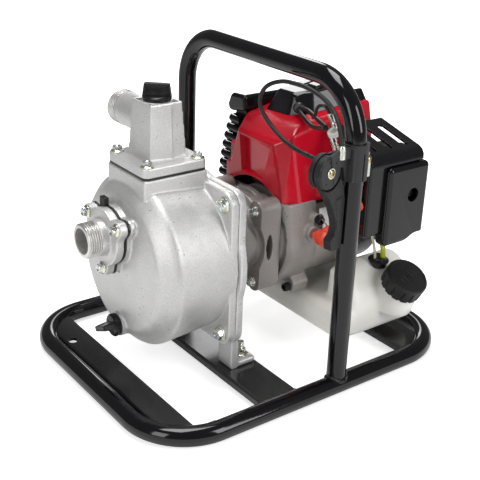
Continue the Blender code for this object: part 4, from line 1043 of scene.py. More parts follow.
def coupling_housing():
    """The ring between pump bracket and engine: a bolted slab at each side with a slot, a window on top."""
    front, rear = low("coupling_housing").x, FAN_FRONT - 0.3
    step, bore = -3.0, 36.5
    shell = lathe([(front, 20.2), (front, 41.0), (step, 41.0), (step + 4, 46.8), (rear, 46.8), (rear, bore),
                   (front + 4.5, bore), (front + 4.5, 20.2)], on_axis(0), (1, 0, 0), 120, closed=True)
    slabs = []
    for side in (-1, 1):
        rims = []
        for level in (-1, 1):
            for k in range(24):
                turn = math.tau * k / 24
                rims += [on_axis(x, side * EAR_OFFSET + 10.5 * math.cos(turn), level * EAR_OFFSET + 10.5 * math.sin(turn))
                         for x in (EAR_FACE, rear + 0.3)]
        scallop = lathe([(-30, 0), (-30, 44), (30, 44), (30, 0)], (EAR_FACE - 38.5, AXIS_Y + side * 45, AXIS_Z),
                        (0, 1, 0), 96)
        slab = cut(hull(rims), scallop, along_x((-20, 40), bore + 1.5, sides=90))
        slabs.append(slab)
    shell = join(shell, *slabs)
    almond = []
    for k in range(40):
        t = math.tau * k / 40
        almond.append((5.5 + 3.7 * math.cos(t) * abs(math.cos(t)), AXIS_Z + 16 * math.sin(t)))
    shell = cut(shell, prism(almond, "y", AXIS_Y - 60, AXIS_Y + 60),
                hull([(x, AXIS_Y + y, AXIS_Z + z) for x, y in ((-9, -17), (-9, -3), (-3.5, -19), (-3.5, -1))
                      for z in (25, 60)]),
                hull([(x, AXIS_Y + y, AXIS_Z + z) for x, y in ((2.5, -14), (2.5, 12), (11, -17), (11, 15))
                      for z in (42.5, 60)]))
    cast(shell, 1.0, 4, rough=0.14)
    piece("coupling_casting", shell, ENGINE_METAL, stands_for=["coupling_housing"],
          weighted=False)
    turns = random.Random(3)
    places = [aimed(on_axis(EAR_FACE, dy, dz), (-1, 0, 0), turns.uniform(0, 1)) for dy, dz in corners_of(EAR_OFFSET)]
    copies("coupling_bolt", flange_bolt(8.4, 6.0, 5.6, 2.9, 9), places, ZINC)


def fan_outline(inset, top):
    """The U shape of the fan housing about the shaft line."""
    radius = FAN_RADIUS - inset
    steps = 48
    outline = [(AXIS_Y + radius, AXIS_Z), (AXIS_Y + radius - 8, top), (AXIS_Y - radius + 8, top),
               (AXIS_Y - radius, AXIS_Z)]
    outline += [(AXIS_Y + radius * math.cos(t), AXIS_Z + radius * math.sin(t))
                for t in [math.pi + math.pi * k / steps for k in range(1, steps)]]
    return outline


def fan_housing():
    """The speckled casting round the flywheel, with a foot lug and its two black screws."""
    outer = soften(prism(fan_outline(0, FAN_TOP + 14), "x", FAN_FRONT, FAN_REAR), 8, 5, 40)
    lug = hull([(x, y, z) for x in (41, FAN_REAR) for y, z in ((-25, 60), (-37, 60), (-39, 71), (-30, 82), (-20, 74))])
    knob = middle("stop_button")
    shell = join(outer, soften(lug, 1.5, 3), rod((knob.x, -56.5, knob.z), (knob.x, -46, knob.z), 8.5),
                 rod((55.5, -53.0, 146.2), (55.5, -46, 146.2), 6.0))
    shell = cut(shell, block((0, 100), (-90, 100), (FAN_TOP, 220)),
                prism(fan_outline(4.0, FAN_TOP + 9), "x", FAN_FRONT + 6.5, FAN_REAR - 3.5),
                along_x((0, 30), 43.5, sides=90), along_x((50, 90), 18),
                lathe([(-1, 48.5), (-1, 56.0), (3.2, 56.0), (3.2, 48.5)], on_axis(FAN_FRONT), (1, 0, 0), 90,
                      closed=True))
    cast(shell, 1.15, 4, rough=0.14)
    piece("fan_casting", shell, ENGINE_METAL, stands_for=["fan_housing"], weighted=False)
    places = [aimed((41, -31, 66), (-1, 0, 0), 0.3), aimed((55.5, -53.0, 146.2), (0, -1, 0), 0.1)]
    copies("socket_screw", socket_screw(4.3, 6.5, 2.2, 8), places, BLACK)
    plate = cut(soften(prism([(56, 158), (56, 149), (61.5, 145), (61.5, 128), (72, 128), (74, 136), (68, 158)], "y",
                             -55.0, -53.6), 0.4, 2), rod((55.5, -60, 146.2), (55.5, -48, 146.2), 6.4))
    piece("earth_plate", plate, ALUMINIUM)
    skirt = lathe([(FAN_REAR - 2, 53.5), (FAN_REAR - 2, 57.2), (109.0, 57.2), (110.5, 55.8), (110.5, 53.5)],
                  on_axis(0), (1, 0, 0), 128, closed=True)
    skirt = cut(skirt, block((40, 120), (-90, 110), (156, 220)))
    piece("crankcase_skirt", soften(skirt, 0.5, 2, 40), ENGINE_METAL, weighted=False)
    wire = flowing_path([(55, -56.5, 151), (60, -60, 143), (66, -64, 134)], 1.0)
    piece("earth_wire", sweep(wire, 0.65, 10), ZINC, weighted=False)


def stop_knob():
    """The orange knob: a round bulb with a side nipple on a short stem."""
    x, _, z = middle("stop_button")
    bulb = lathe(rounded_profile([(0, 0.01), (0, 5.5), (4, 8.2), (13, 8.4), (18, 6.4), (19.5, 0.01)], 3.0, 8),
                 (x, -61.0, z), (0, -1, 0.05), 64)
    nipple = rod((x + 2, -66, z + 1), (x + 12, -65, z + 7), 6.2, 4.0, 40)
    knob = soften(join(bulb, nipple), 0.8, 3, 35)
    piece("stop_knob", knob, RED_RUBBER, "stop_button", stands_for=["stop_button"],
          weighted=False)
    stem = rod((x, -62, z), (x, -54.6, z), 3.0)
    piece("stop_stem", stem, RED_RUBBER, "stop_button")


def engine_shroud():
    """The red cover over the cylinder, stepped at its left edge, with a sunk front panel."""
    steps = [soften(hull([(x, y, z) for x, y in ((19.5, 30), (19.5, right), (34, 30), (34, right + 2))
                          for z in (158, top)]), 1.2, 3) for right, top in ((48.5, 207), (55.5, 184.5))]
    outer = join(soften(hull(SHROUD), 2.4, 5), *steps)
    sink = hull([(8, 33, 221), (8, -21, 218.5), (8, -7, 180), (8, 28, 180),
                 (23.5, 30, 219), (19.0, -19, 216.5), (20.2, -7.5, 182), (24, 26.5, 182)])
    middle_of = Vector((76, 9, 200))
    inner = []
    for corner in SHROUD:
        point = Vector(corner)
        away = point - middle_of
        point -= Vector([math.copysign(3.0, a) for a in away])
        point.x = max(point.x, 27.0)
        inner.append(point if corner[2] > 170 else point - Vector((0, 0, 20)))
    shell = cut(outer, sink, hull(inner),
                block((-10, 200), (-90, 110), (130, SHROUD_FOOT)),
                block((-10, 46), (-90, 110), (130, FAN_TOP)),
                along_x((-10, 46), 57.5, sides=120),
                block((52, 118), (50, 90), (150, 230)),
                block((68, 106), (-80, -30), (168, 202)),
                along_x((111, 170), 59.5, sides=96),
                rod((CYLINDER_X, AXIS_Y, 230), (CYLINDER_X, AXIS_Y, 280), 12))
    soften(shell, 0.5, 2, 32)
    piece("red_shroud", shell, RED, stands_for=["engine_shroud"], crisp=30)


def top_cover():
    """The black cover over the spark plug, with the grommet its two leads come out of."""
    dome = soften(hull([(54, 42, 232), (52, 0, 232), (70, -21, 235), (128, -28, 244), (128, 41, 244),
                        (61, 27, 261), (61, 2, 262), (77, -8, 263), (119, -15, 270), (119, 29, 270)]), 5.0, 7, 12)
    hollow = hull([(65, 35, 230), (64, 2, 230), (76, -12, 230), (121, -19, 238), (121, 34, 238),
                   (70, 21, 256), (70, 3, 257), (80, -2, 258), (113, -9, 264), (113, 23, 264)])
    roof = [Vector(corner) + Vector((0, 0, 0.3)) for corner in SHROUD]
    groove = hull([(x, y, z) for x in (84, 100) for y, z in ((12, 264.5), (17, 264.5), (12, 290), (17, 290))])
    rib = soften(hull([(x, y, z) for x, z in ((80, 263), (112, 267), (84, 268), (108, 271))
                       for y in (-6, 8)]), 1.2, 3)
    dome = cut(join(dome, rib), hollow, groove, hull(roof))
    piece("plug_cover", soften(dome, 0.5, 2, 40), GLOSS_BLACK, stands_for=["top_cover"],
          crisp=30)
    boot = lathe(rounded_profile([(-6, 0.01), (-6, 6.0), (2.5, 5.6), (3.5, 4.0), (3.5, 0.01)], 0.8, 4),
                 (59.0, -10.0, 250.0), (-0.75, -0.6, 0.25), 48)
    piece("lead_grommet", boot, BLACK_RUBBER)
    catch = soften(hull([(x, y, z) for x in (121, 134) for y, z in ((-12, 260), (-30, 240), (-34, 246), (-20, 264),
                                                                  (-12, 250))]), 2.5, 4)
    piece("cover_catch", catch, GLOSS_BLACK)


def muffler_guard():
    """The heat guard: seven rounded bars looped round the muffler on a dark backing."""
    heights = [(83.5, 221), (88, 210.5), (91.5, 200), (94.5, 189.5), (97, 178.5), (99, 167.5), (100, 157)]
    for k, (reach, z) in enumerate(heights):
        corners = [(112, 62, z), (112, reach - 3.9, z), (40.5, reach - 3.9, z), (40.5, 60, z)]
        bar = sweep(arc_path(corners, 6, 8), 3.9, 24, up=(0, 0, 1))
        piece(f"guard_bar_{k + 1}", bar, GLOSS_BLACK, weighted=False)
    backing = hull([(x, y, z) for x in (47, 109) for y, z in ((60, 156), (92, 156), (76, 237), (60, 237))])
    backing = cut(backing, hull([(x, y, z) for x in (49.5, 106.5)
                                 for y, z in ((50, 150), (89.5, 158.5), (73.5, 234.5), (50, 234.5))]))
    piece("guard_backing", backing, BLACK, stands_for=["muffler_guard"])
    cap = soften(hull([(x, y, z) for x in (37, 112) for y, z in ((50, 234), (78, 229), (82, 236), (76, 249),
                                                                (52, 251))]), 6.5, 7)
    piece("guard_cap", cap, GLOSS_BLACK)


def air_cleaner():
    """The deep black box with its raised front panel, sunk screw and wavy lower edge."""
    box = soften(hull([(x, y, z) for x in (70, 139) for y, z in ((-106, 140), (-106, 216), (-101, 221),
                                                                 (-76, 221), (-76, 140))]), 6, 6, 20)
    panel = block((91, 146), (-112.5, -97), (128, 210), 5, 6)
    wave = [(90, 120), (90, 127)]
    for k in range(21):
        t = k / 20
        wave.append((111 + 24 * t, 127 + 9 * (3 * t * t - 2 * t ** 3)))
    wave += [(160, 136), (160, 120)]
    cover = join(box, panel)
    cover = cut(cover, block((73, 136), (-103, -60), (143, 218)), prism(wave, "y", -125, -90),
                rod((125, -125, 178), (125, -107.5, 178), 7.2),
                block((94, 143), (-109.5, -99), (120, 205)))
    cover = join(cover, soften(block((138, 143.5), (-100, -92), (150, 172)), 1.2, 3))
    soften(cover, 0.5, 2, 40)
    piece("air_cleaner_box", cover, GLOSS_BLACK, stands_for=["air_filter_cover"], crisp=30)
    screw = aimed((125, -106.2, 178), (0, -1, 0), 0.4)
    piece("air_cleaner_screw", transformed(cross_screw(4.6, 2.6, 2.0, 10), screw), BLACK)
    shelf = block((72.5, 136.5), (-80, -54), (213, 216.5), 1.0, 3)
    base = cut(join(soften(block((72.5, 136.5), (-92, -74.5), (142.5, 218.5)), 2.5, 4), shelf),
               block((79, 130), (-100, -78), (149, 212)), rod((85, -90, 183), (85, -60, 183), 8))
    piece("air_cleaner_base", base, BLACK, stands_for=["air_filter_base"])


def guard_plate():
    """The slotted sheet that bridges air cleaner and shroud, folded down in front."""
    x_low, x_high = low("guard_plate").x, high("guard_plate").x
    outer = [(-108.6, 212.0), (-108.2, 217.5), (-105.5, 221.6), (-101.0, 224.0), (-46, 238.0)]
    outline = outer + [(-46, 235.6), (-100.6, 221.6), (-104.0, 219.8), (-106.0, 216.8), (-106.3, 212.0)]
    plate = prism(outline, "x", x_low, x_high)
    slots = []
    for x in (78, 99, 120):
        shape = rounded_rectangle((x + 4.5, -77), 3.8, 20, 3.4, 6)
        slots.append(prism(shape, "z", 205, 250))
    plate = cut(plate, *slots)
    piece("slotted_guard", soften(plate, 0.6, 3, 30), GLOSS_BLACK, stands_for=["guard_plate"])


def choke():
    """The red crescent on the side of the carburettor, and the thin wire beside it."""
    y, z = pivot("choke_swing").y, pivot("choke_swing").z
    outline = [(y - 2.0, z - 5), (y + 3.0, z - 4), (y + 5.5, z + 4), (y + 5.0, z + 14), (y + 0.5, z + 25),
               (y - 4.0, z + 26), (y - 1.5, z + 18), (y - 1.8, z + 8), (y - 6.0, z + 2)]
    crescent = prism(rounded_outline(outline, 1.4, 4), "x", 64.5, 68.2)
    lever = join(soften(crescent, 0.7, 3, 30), rod((69.6, y, z), (63.6, y, z), 4.2, sides=40))
    piece("choke_crescent", lever, RED_RUBBER, "choke_lever", stands_for=["choke_lever"])
    wire = flowing_path([(74, -74, 196), (66, -82, 182), (64, -88, 164), (70, -86, 150), (78, -76, 146)], 1.5)
    piece("choke_wire", sweep(wire, 0.9, 12), BLACK_RUBBER, weighted=False)


def carburettor():
    """The carburettor body with its flanges, float bowl and side screws."""
    body = join(block((73, 97), (-72, -50), (171, 195), 2.0), rod((CYLINDER_X, -61, 163), (CYLINDER_X, -61, 173), 10.5),
                block((70, 100), (-73.6, -70), (168, 195.6), 1.2), block((70, 100), (-51.5, -48), (168, 195.6), 1.2),
                rod((CYLINDER_X - 14, -61, 181), (CYLINDER_X + 14, -61, 181), 5.0))
    body = cut(body, rod((CYLINDER_X, -90, 183), (CYLINDER_X, -40, 183), 6.5),
               rod((CYLINDER_X, -61, 188), (CYLINDER_X, -61, 210), 3.0))
    cast(body, 0.8, 3, rough=0.05)
    piece("carburettor_casting", body, ALUMINIUM, stands_for=["carburettor"], weighted=False)


# ---------------------------------------------------------------- fuel tank

CAP_SEAT = pivot("cap_unscrew")
CAP_AXIS = Vector(JOINTS["cap_unscrew"]["axis"]).normalized()
CAP_RADIUS = 22.4


def fuel_tank():
    """The milky tank: a low saddle, a raised end and the slanted filler neck."""
    saddle = block((54, 160), (-98, 50), (24, 57), 10, 5)
    outline = [(-98, 24), (-98, 62), (-92, 73), (-74, 92), (-52, 94), (-48, 24)]
    raised = soften(prism(outline, "x", 74, 162), 9, 5, 25)
    neck = lathe([(-36, 0), (-36, 25), (-24, 23), (-15, 20.5), (-6, 20.0), (-6, 17.2), (-0.4, 17.2), (-0.4, 0)],
                 CAP_SEAT, CAP_AXIS, 64)
    tank = join(saddle, raised, neck)
    tank = cut(tank, block((56, 100), (-60, 40), (88, 100)), rod(CAP_SEAT - CAP_AXIS * 30, CAP_SEAT + CAP_AXIS * 5, 13.8))
    cast(tank, 1.8, 12)
    piece("milky_tank", tank, MILKY, stands_for=["fuel_tank"], weighted=False)
    grommet = lathe(rounded_profile([(-4, 0.01), (-4, 9.5), (0.5, 9.5), (1.6, 11.0), (2.8, 11.0), (4.6, 8.0),
                                     (6.4, 7.5), (6.4, 0.01)], 0.5, 3), (125, -75, 91.0), (0, -0.10, 1), 64)
    piece("hose_grommet", grommet, BLACK_RUBBER)
    line = flowing_path([(127, -79, 93), (127, -79, 100), (126, -77, 112), (119, -71, 128), (96, -65, 146),
                         (86, -61, 163)], 2.0)
    piece("fuel_hose", sweep(line, 2.7, 24), YELLOW_HOSE, stands_for=["fuel_line"], weighted=False)
    line = flowing_path([(119, -76, 93), (118, -76, 102), (115, -74, 118), (110, -70, 132), (98, -62, 150),
                         (88, -58, 166)], 2.0)
    piece("return_hose", sweep(line, 1.4, 20), CLEAR_HOSE, weighted=False)


def fuel_cap():
    """The ribbed cap with its raised rim, vent and moulded mark, and the seal under it."""
    ribs = 14

    def grip(along, reach, turn):
        if not -15.2 < along < 1.0 or reach < CAP_RADIUS - 0.4:
            return 0.0
        return -1.2 if (turn * ribs / math.tau) % 1.0 > 0.72 else 0.0

    top = 5.0
    outer = [(-12.0, CAP_RADIUS - 3.4), (-12.0, CAP_RADIUS)]
    outer += [(-12.0 + 14.5 * k / 12, CAP_RADIUS) for k in range(1, 13)]
    outer += [(3.4, CAP_RADIUS), (4.6, CAP_RADIUS - 0.9), (top, CAP_RADIUS - 2.0), (top, CAP_RADIUS - 3.4),
              (top - 0.8, CAP_RADIUS - 3.9), (top - 0.9, 6.0), (top - 0.9, 1.0), (top - 2.2, 0.8), (top - 2.2, 0)]
    inner = [(2.0, 0), (2.0, CAP_RADIUS - 3.4)]
    cap = lathe(inner + outer, CAP_SEAT, CAP_AXIS, 256, ripple=lambda a, r, t: grip(a - 0.0, r, t))
    frame_of_cap = aimed(CAP_SEAT + CAP_AXIS * (top - 0.9), CAP_AXIS, math.radians(20))
    mark = [prism(rounded_rectangle((a, b), w, h, min(w, h) * 0.8, 3), "z", -0.2, 0.45)
            for a, b, w, h in ((-5.0, 0.0, 1.1, 4.6), (-9.5, 0.0, 1.1, 3.0), (5.0, 0.0, 1.1, 4.6), (9.5, 0.0, 1.1, 3.0))]
    piece("filler_cap", cap, GRAINED_BLACK, "fuel_cap", stands_for=["fuel_cap"], crisp=28)
    for k, obj in enumerate(mark):
        piece(f"filler_cap_rib_{k + 1}", transformed(obj, frame_of_cap), GRAINED_BLACK, "fuel_cap")
    seal = lathe([(along - 0.1, radius) for along, radius in ring_profile(14.2, 17.0, 1.4)], CAP_SEAT, CAP_AXIS, 64,
                 closed=True)
    piece("filler_cap_ring", seal, BLACK_RUBBER, "fuel_cap_seal", stands_for=["fuel_cap_seal"])


# ---------------------------------------------------------------- recoil starter

def recoil_starter():
    """The starter cup with its air louvres and screws, the cord and the T grip."""
    front, rear = low("starter_housing").x, high("starter_housing").x
    cup = lathe(rounded_profile([(front, 54.6), (front, 57.6), (front + 36, 57.6), (rear - 5, 52), (rear, 46),
                                 (rear, 0.01), (rear - 3.4, 0.01), (rear - 3.4, 44), (rear - 8, 49.5),
                                 (front + 35, 54.6)], 1.2, 4), on_axis(0), (1, 0, 0), 128, closed=True)
    post = rod((STARTER, ROPE_Y, 166), (STARTER, ROPE_Y, 184), 7.2)
    bosses = [along_x((front + 0.5, front + 9), 6.0, dy, dz, 32) for dy, dz in corners_of(41)]
    cup = join(cup, post, along_x((140, rear - 1), 4.8), *bosses)
    slots = []
    for k in range(14):
        turn = Matrix.Rotation(math.tau * k / 14, 4, 'X')
        shape = prism(rounded_rectangle((31, 0), 11, 2.3, 2.0, 4), "x", 140, rear + 5)
        slots.append(transformed(shape, Matrix.Translation(on_axis(0)) @ turn))
    ring = lathe([(rear - 1.2, 15.0), (rear - 1.2, 16.4), (rear + 2, 16.4), (rear + 2, 15.0)], on_axis(0),
                 (1, 0, 0), 64, closed=True)
    cup = cut(cup, ring, rod((STARTER, ROPE_Y, 150), (STARTER, ROPE_Y, 190), 2.4), *slots)
    piece("starter_cup", soften(cup, 0.4, 2, 40), BLACK, stands_for=["starter_housing"])
    places = [aimed(on_axis(front + 9, dy, dz), (1, 0, 0), 0.5) for dy, dz in corners_of(41)]
    copies("starter_screw", cross_screw(3.8, 2.4, 1.8, 8), places, ZINC)
    grip = block((STARTER - 6.2, STARTER + 6.2), (ROPE_Y - 17, ROPE_Y + 17), (190, 203), 4.6, 6)
    neck = lathe(rounded_profile([(0, 0.01), (0, 5.0), (5, 4.2), (9, 5.6), (9, 0.01)], 0.8, 4),
                 (STARTER, ROPE_Y, 184.6), (0, 0, 1), 40)
    grip = cut(join(grip, neck), *[rod((STARTER - 9, ROPE_Y + side * 10, 188.6),
                                      (STARTER + 9, ROPE_Y + side * 10, 188.6), 3.4) for side in (-1, 1)])
    piece("pull_grip", soften(grip, 0.4, 2, 40), BLACK, "starter_handle",
          stands_for=["starter_handle"])

    def strands(along, reach, turn):
        return 0.16 * math.cos(2 * turn - math.tau * along / 5.0)

    bottom = AXIS_Z
    rows = [(0.9 * k, 1.6) for k in range(round((184.4 - bottom) / 0.9) + 1)]
    cord = lathe([(0, 0)] + rows + [(rows[-1][0], 0)], (STARTER, ROPE_Y, bottom), (0, 0, 1), 16, ripple=strands)
    cord = piece("pull_cord", cord, CORD, None, stands_for=["starter_rope"], weighted=False)
    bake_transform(cord)


# ---------------------------------------------------------------- throttle control

LEVER_HUB = pivot("lever_swing")
LEVER_PLACE = Matrix.Translation(LEVER_HUB) @ Matrix.Rotation(math.radians(12.0), 4, 'Z')
LEG = LEVER_PLACE.inverted() @ Vector((HOOP.x, -HOOP_Y, LEVER_HUB.z))


def in_lever_place(obj):
    return transformed(obj, LEVER_PLACE)


def throttle_clamp():
    """The clamp on the handle leg: round cover of the lever, block, half ring, tab and screws."""
    cover = lathe(rounded_profile([(-4.3, 0.01), (-4.3, 13.6), (-3.2, 15.6), (-1.2, 15.6), (-1.2, 0.01)], 0.5, 3),
                  (0, 0, 0), (0, 1, 0), 96)
    arm = prism(rounded_outline([(-2, 15.3), (10.5, 18.3), (26.3, 15), (34, 15), (34, -13), (21.5, -13), (16.5, 2),
                                 (0, 5)], 1.5, 4), "y", -5.4, -1.3)
    dimples = [rod((x, -9, z), (x, -3.8, z), 0.9, sides=16) for x, z in ((5.5, 8.5), (-3, 10.5), (-6.5, -8.5))]
    line = block((2.0, 4.6), (-6, -4.0), (-14.5, -6), 0)
    front = cut(join(cover, soften(arm, 0.5, 2, 30)), rod((0, -9, 0), (0, 9, 0), 3.0), *dimples, line)
    step = block((12.5, 25), (-8.2, -1.3), (9.3, 19), 0.9, 3)
    cheek = block((22.5, LEG.x), (-11.5, 6.5), (-13, 18.5), 1.0, 3)
    half = join(rod((LEG.x, LEG.y, -13), (LEG.x, LEG.y, 20), 12.4, sides=72), cheek, step,
                block((LEG.x, LEG.x + 13.5), (-4.5, 4.2), (-12, 9), 0.8, 3))
    half = cut(half, rod((LEG.x, LEG.y, -30), (LEG.x, LEG.y, 40), 9.55, sides=72),
               block((LEG.x - 3.2, LEG.x - 1.8), (-40, -10), (-14.5, 12.5)))
    clamp = join(front, half)
    piece("throttle_clamp", in_lever_place(soften(clamp, 0.35, 2, 40)), GRAINED_BLACK,
          stands_for=["throttle_bracket"])
    back = join(lathe(rounded_profile([(4.1, 0.01), (4.1, 15.6), (8.4, 15.6), (9, 14.8), (9, 0.01)], 0.5, 3),
                      (0, 0, 0), (0, 1, 0), 96), block((4, 20), (4.3, 7.6), (-8, 14), 0.8, 3))
    piece("throttle_back", in_lever_place(soften(back, 0.3, 2, 40)), GRAINED_BLACK)
    tab = block((LEG.x + 8.5, LEG.x + 17.5), (-9.5, -6.0), (-14.0, 1.5), 0.7, 3)
    tab = join(tab, block((LEG.x + 13.5, LEG.x + 18.5), (-7, 4), (-10.5, 8.5), 0.7, 3))
    piece("clamp_tab", in_lever_place(tab), ZINC)
    screw = transformed(cross_screw(4.2, 2.6, 1.9, 14), aimed((LEG.x + 16.2, -7.2, 1.5), (0.3, -1, 0), 0.6))
    piece("clamp_screw", in_lever_place(screw), BRASS)
    hub = transformed(cross_screw(4.0, 2.0, 1.6, 10), aimed((0, -4.6, 0), (0, -1, 0), 0.5))
    piece("hub_screw", in_lever_place(hub), BRASS)
    eyelet = lathe(rounded_profile([(0, 3.4), (0, 5.2), (1.1, 4.9), (1.1, 3.4)], 0.3, 3), (0, -4.2, 0), (0, -1, 0),
                   48, closed=True)
    piece("hub_ring", in_lever_place(eyelet), ZINC)


def throttle_lever():
    """The swinging lever: a disc behind the cover and a leaning blade with a hooked tip."""
    disc = lathe(rounded_profile([(-0.95, 0.01), (-0.95, 14.6), (4.0, 14.6), (4.0, 0.01)], 0.5, 3), (0, 0, 0),
                 (0, 1, 0), 96)
    outline = [(-14.6, 0), (-12.6, -7.5), (-6.6, -16), (0.5, -25), (6.8, -35), (12.2, -47), (13.8, -54),
               (12.2, -60.5), (6.4, -65.8), (8.3, -75.6), (15, -77.2), (22.0, -76), (23.8, -69), (23.9, -44),
               (23.6, -29), (20.5, -16), (15.5, -8), (13.5, 0)]
    blade = prism(rounded_outline(outline, 1.2, 3), "y", -4.6, 3.8)
    blade = cut(blade, rod((0, -9, 0), (0, -0.7, 0), 16.2, sides=96))
    ridge = prism([(9.5, -27), (15.5, -60), (20.5, -60), (18.5, -26)], "y", -5.4, -4.3)
    lever = cut(join(disc, blade, ridge), rod((0, -9, 0), (0, 9, 0), 3.2, sides=40))
    cast(lever, 0.5, 4)
    piece("lever_blade", in_lever_place(lever), GRAINED_BLACK, "throttle_lever",
          stands_for=["throttle_lever"])


def wound(points, radius, pitch, depth, sides=20):
    """A cable sleeve whose ribs follow its path."""
    path = flowing_path(points, pitch / 6)
    count = len(path) - 1
    return sweep(path, lambda share: radius + depth * math.cos(math.tau * round(share * count) / 6), sides)


def leads():
    """The throttle cable looping over the shroud, and the two stop leads with their connectors."""
    cable = wound([(-17.5, -131.3, 243.5), (-22.5, -126.5, 246.3), (-14, -102.2, 242.3), (-6, -76.3, 240.7),
                   (-2, -56.5, 243.4), (0, -38.6, 249.6), (0, -26.4, 258.7), (0, -21.9, 268.8), (0, -26.3, 279.4),
                   (0, -35.8, 287.1), (0, -52.5, 293.4), (0, -69.0, 295.5), (0, -89.7, 295.4), (0, -110.1, 291.2),
                   (0, -124.0, 283.6), (-1, -133.0, 273.6), (-2, -138.0, 264), (-2, -140.5, 253)], 2.0, 1.5, 0.13)
    piece("throttle_cable", cable, BLACK_RUBBER, weighted=False)
    ferrule = lathe(rounded_profile([(-3, 0.01), (-3, 3.3), (7, 3.3), (9, 2.7), (9, 0.01)], 0.4, 3),
                    (-2, -140.8, 248), (0, 0.05, 1), 40)
    piece("cable_ferrule", ferrule, ZINC)
    routes = ([(58, -11, 250), (54, -30, 252.7), (40.9, -60, 253), (31, -88, 250.6), (26, -97, 243)],
              [(58, -9, 249), (46, -35, 247.5), (35.2, -60, 247.4), (25.2, -85, 253.9), (20, -94, 258)])
    for k, places in enumerate(routes):
        piece(f"stop_lead_{k + 1}", sweep(flowing_path(places, 2.0), 2.3, 20), BLACK_RUBBER,
              weighted=False)
    for k, (start, end) in enumerate((((18.2, -100, 273.5), (27.0, -100, 257.0)), ((22.5, -101, 251), (29.6, -101, 234.8)))):
        along = Vector(end) - Vector(start)
        reach = along.length
        profile = [(0, 0), (0, 2.6), (1.2, 3.2), (reach * 0.30, 3.2), (reach * 0.34, 2.6), (reach * 0.52, 2.6),
                   (reach * 0.56, 3.4), (reach * 0.86, 3.4), (reach * 0.9, 2.9), (reach, 2.6), (reach, 0)]
        piece(f"bullet_connector_{k + 1}", lathe(profile, start, along, 40), ZINC)
    sleeve = sweep(flowing_path([(18.5, -100, 272), (15, -96, 279), (14, -88, 276), (22, -76, 264), (34, -60, 256)],
                                2.0), 1.6, 16)
    piece("connector_lead_1", sleeve, BLACK_RUBBER, weighted=False)
    sleeve = sweep(flowing_path([(29, -101, 237), (30, -103, 230), (26, -106, 220), (22, -112, 212)], 2.0), 1.6, 16)
    piece("connector_lead_2", sleeve, BLACK_RUBBER, weighted=False)
    band = lathe(rounded_profile([(-2, 3.5), (-2, 6.4), (2, 6.4), (2, 3.5)], 0.6, 3), (25.0, -100.4, 254.0),
                 (0.42, 0, -0.9), 40, closed=True)
    piece("connector_band", band, CERAMIC)




# ---------------------------------------------------------------- stage

CAMERA_TARGET = (-22.17, -27.68, 132.24)
CAMERA_AZIMUTH = -37.22
CAMERA_ELEVATION = 23.67
CAMERA_ROLL = 2.03
CAMERA_DISTANCE = 912.25
CAMERA_LENS = 69.64
FLOOR_GLOW = 0.66


def floor():
    """A wide pale floor that looks near white from the camera but throws little light back."""
    bm = bmesh.new()
    bmesh.ops.create_grid(bm, x_segments=1, y_segments=1, size=6.0)
    sheet = to_object(bm)
    sheet.name = "floor"
    sheet.location = (0, 0, -0.0004)
    made = Finish("floor")
    tone = made.mix(made.spread(made.grain(400.0, 2.0), 0.3, 0.7), (0.93, 0.93, 0.93), (0.96, 0.96, 0.96))
    seen = made.node("ShaderNodeLightPath").outputs["Is Camera Ray"]
    distance = made.node("ShaderNodeVectorMath", {0: made.place}, operation='LENGTH').outputs["Value"]
    glow = made.spread(seen, 0.0, 1.0, 0.10, made.spread(distance, 0.22, 0.75, FLOOR_GLOW, 1.1))
    sheet.data.materials.append(made.done(base_color=tone, roughness=0.9, emission_color=(1, 1, 1, 1),
                                          emission_strength=glow))


def area_light(name, place, target, size, energy, size_y=None):
    data = bpy.data.lights.new(name, 'AREA')
    data.shape = 'RECTANGLE'
    data.size = size
    data.size_y = size_y or size
    data.energy = energy
    lamp = bpy.data.objects.new(name, data)
    lamp.location = place
    lamp.rotation_euler = (Vector(target) - Vector(place)).to_track_quat('-Z', 'Y').to_euler()
    bpy.context.scene.collection.objects.link(lamp)


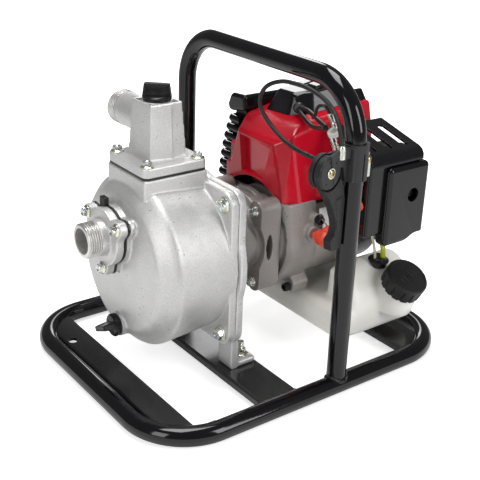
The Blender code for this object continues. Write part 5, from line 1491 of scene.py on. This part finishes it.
def studio():
    world = bpy.data.worlds.new("studio")
    world.use_nodes = True
    tree = world.node_tree
    background = tree.nodes["Background"]
    background.inputs["Color"].default_value = (1, 1, 1, 1)
    seen = tree.nodes.new("ShaderNodeLightPath").outputs["Is Camera Ray"]
    strength = tree.nodes.new("ShaderNodeMapRange")
    tree.links.new(seen, strength.inputs["Value"])
    strength.inputs["To Min"].default_value = 0.16
    strength.inputs["To Max"].default_value = 1.0
    tree.links.new(strength.outputs["Result"], background.inputs["Strength"])
    bpy.context.scene.world = world
    centre = (0, 0, 0.13)
    area_light("top_softbox", (-0.05, 0.1, 1.5), centre, 1.1, 15, 0.55)
    area_light("left_softbox", (-1.5, -0.55, 0.75), centre, 0.55, 8.0, 1.1)
    area_light("right_softbox", (0.55, -1.5, 0.9), centre, 0.55, 12, 1.1)
    area_light("back_strip", (0.9, 1.2, 0.9), centre, 0.3, 5, 1.2)


def camera():
    data = bpy.data.cameras.new("camera")
    data.sensor_width = 36.0
    data.lens = CAMERA_LENS
    data.clip_start = 0.01
    cam = bpy.data.objects.new("camera", data)
    azimuth, elevation = math.radians(CAMERA_AZIMUTH), math.radians(CAMERA_ELEVATION)
    back = Vector((math.sin(azimuth) * math.cos(elevation), -math.cos(azimuth) * math.cos(elevation),
                   math.sin(elevation)))
    cam.location = (Vector(CAMERA_TARGET) + back * CAMERA_DISTANCE) * MM
    aim = (-back).to_track_quat('-Z', 'Y')
    cam.rotation_mode = 'QUATERNION'
    cam.rotation_quaternion = aim @ Quaternion((0, 0, 1), math.radians(CAMERA_ROLL))
    bpy.context.scene.collection.objects.link(cam)
    bpy.context.scene.camera = cam
    bpy.context.scene.view_settings.view_transform = 'Standard'
    bpy.context.scene.view_settings.look = 'None'


# ---------------------------------------------------------------- assembly

dress_cad_nodes()
base_loop()
handle_hoop()
leg_welds()
crossbar("front_crossbar", holes=[(-158.0, 72.0)])
crossbar("middle_crossbar")
crossbar("rear_crossbar")
pump_body()
pump_bracket()
body_bolts()
inlet()
outlet()
plugs()
coupling_housing()
fan_housing()
stop_knob()
engine_shroud()
top_cover()
muffler_guard()
air_cleaner()
guard_plate()
choke()
carburettor()
fuel_tank()
fuel_cap()
recoil_starter()
throttle_clamp()
throttle_lever()
leads()
floor()
studio()
camera()
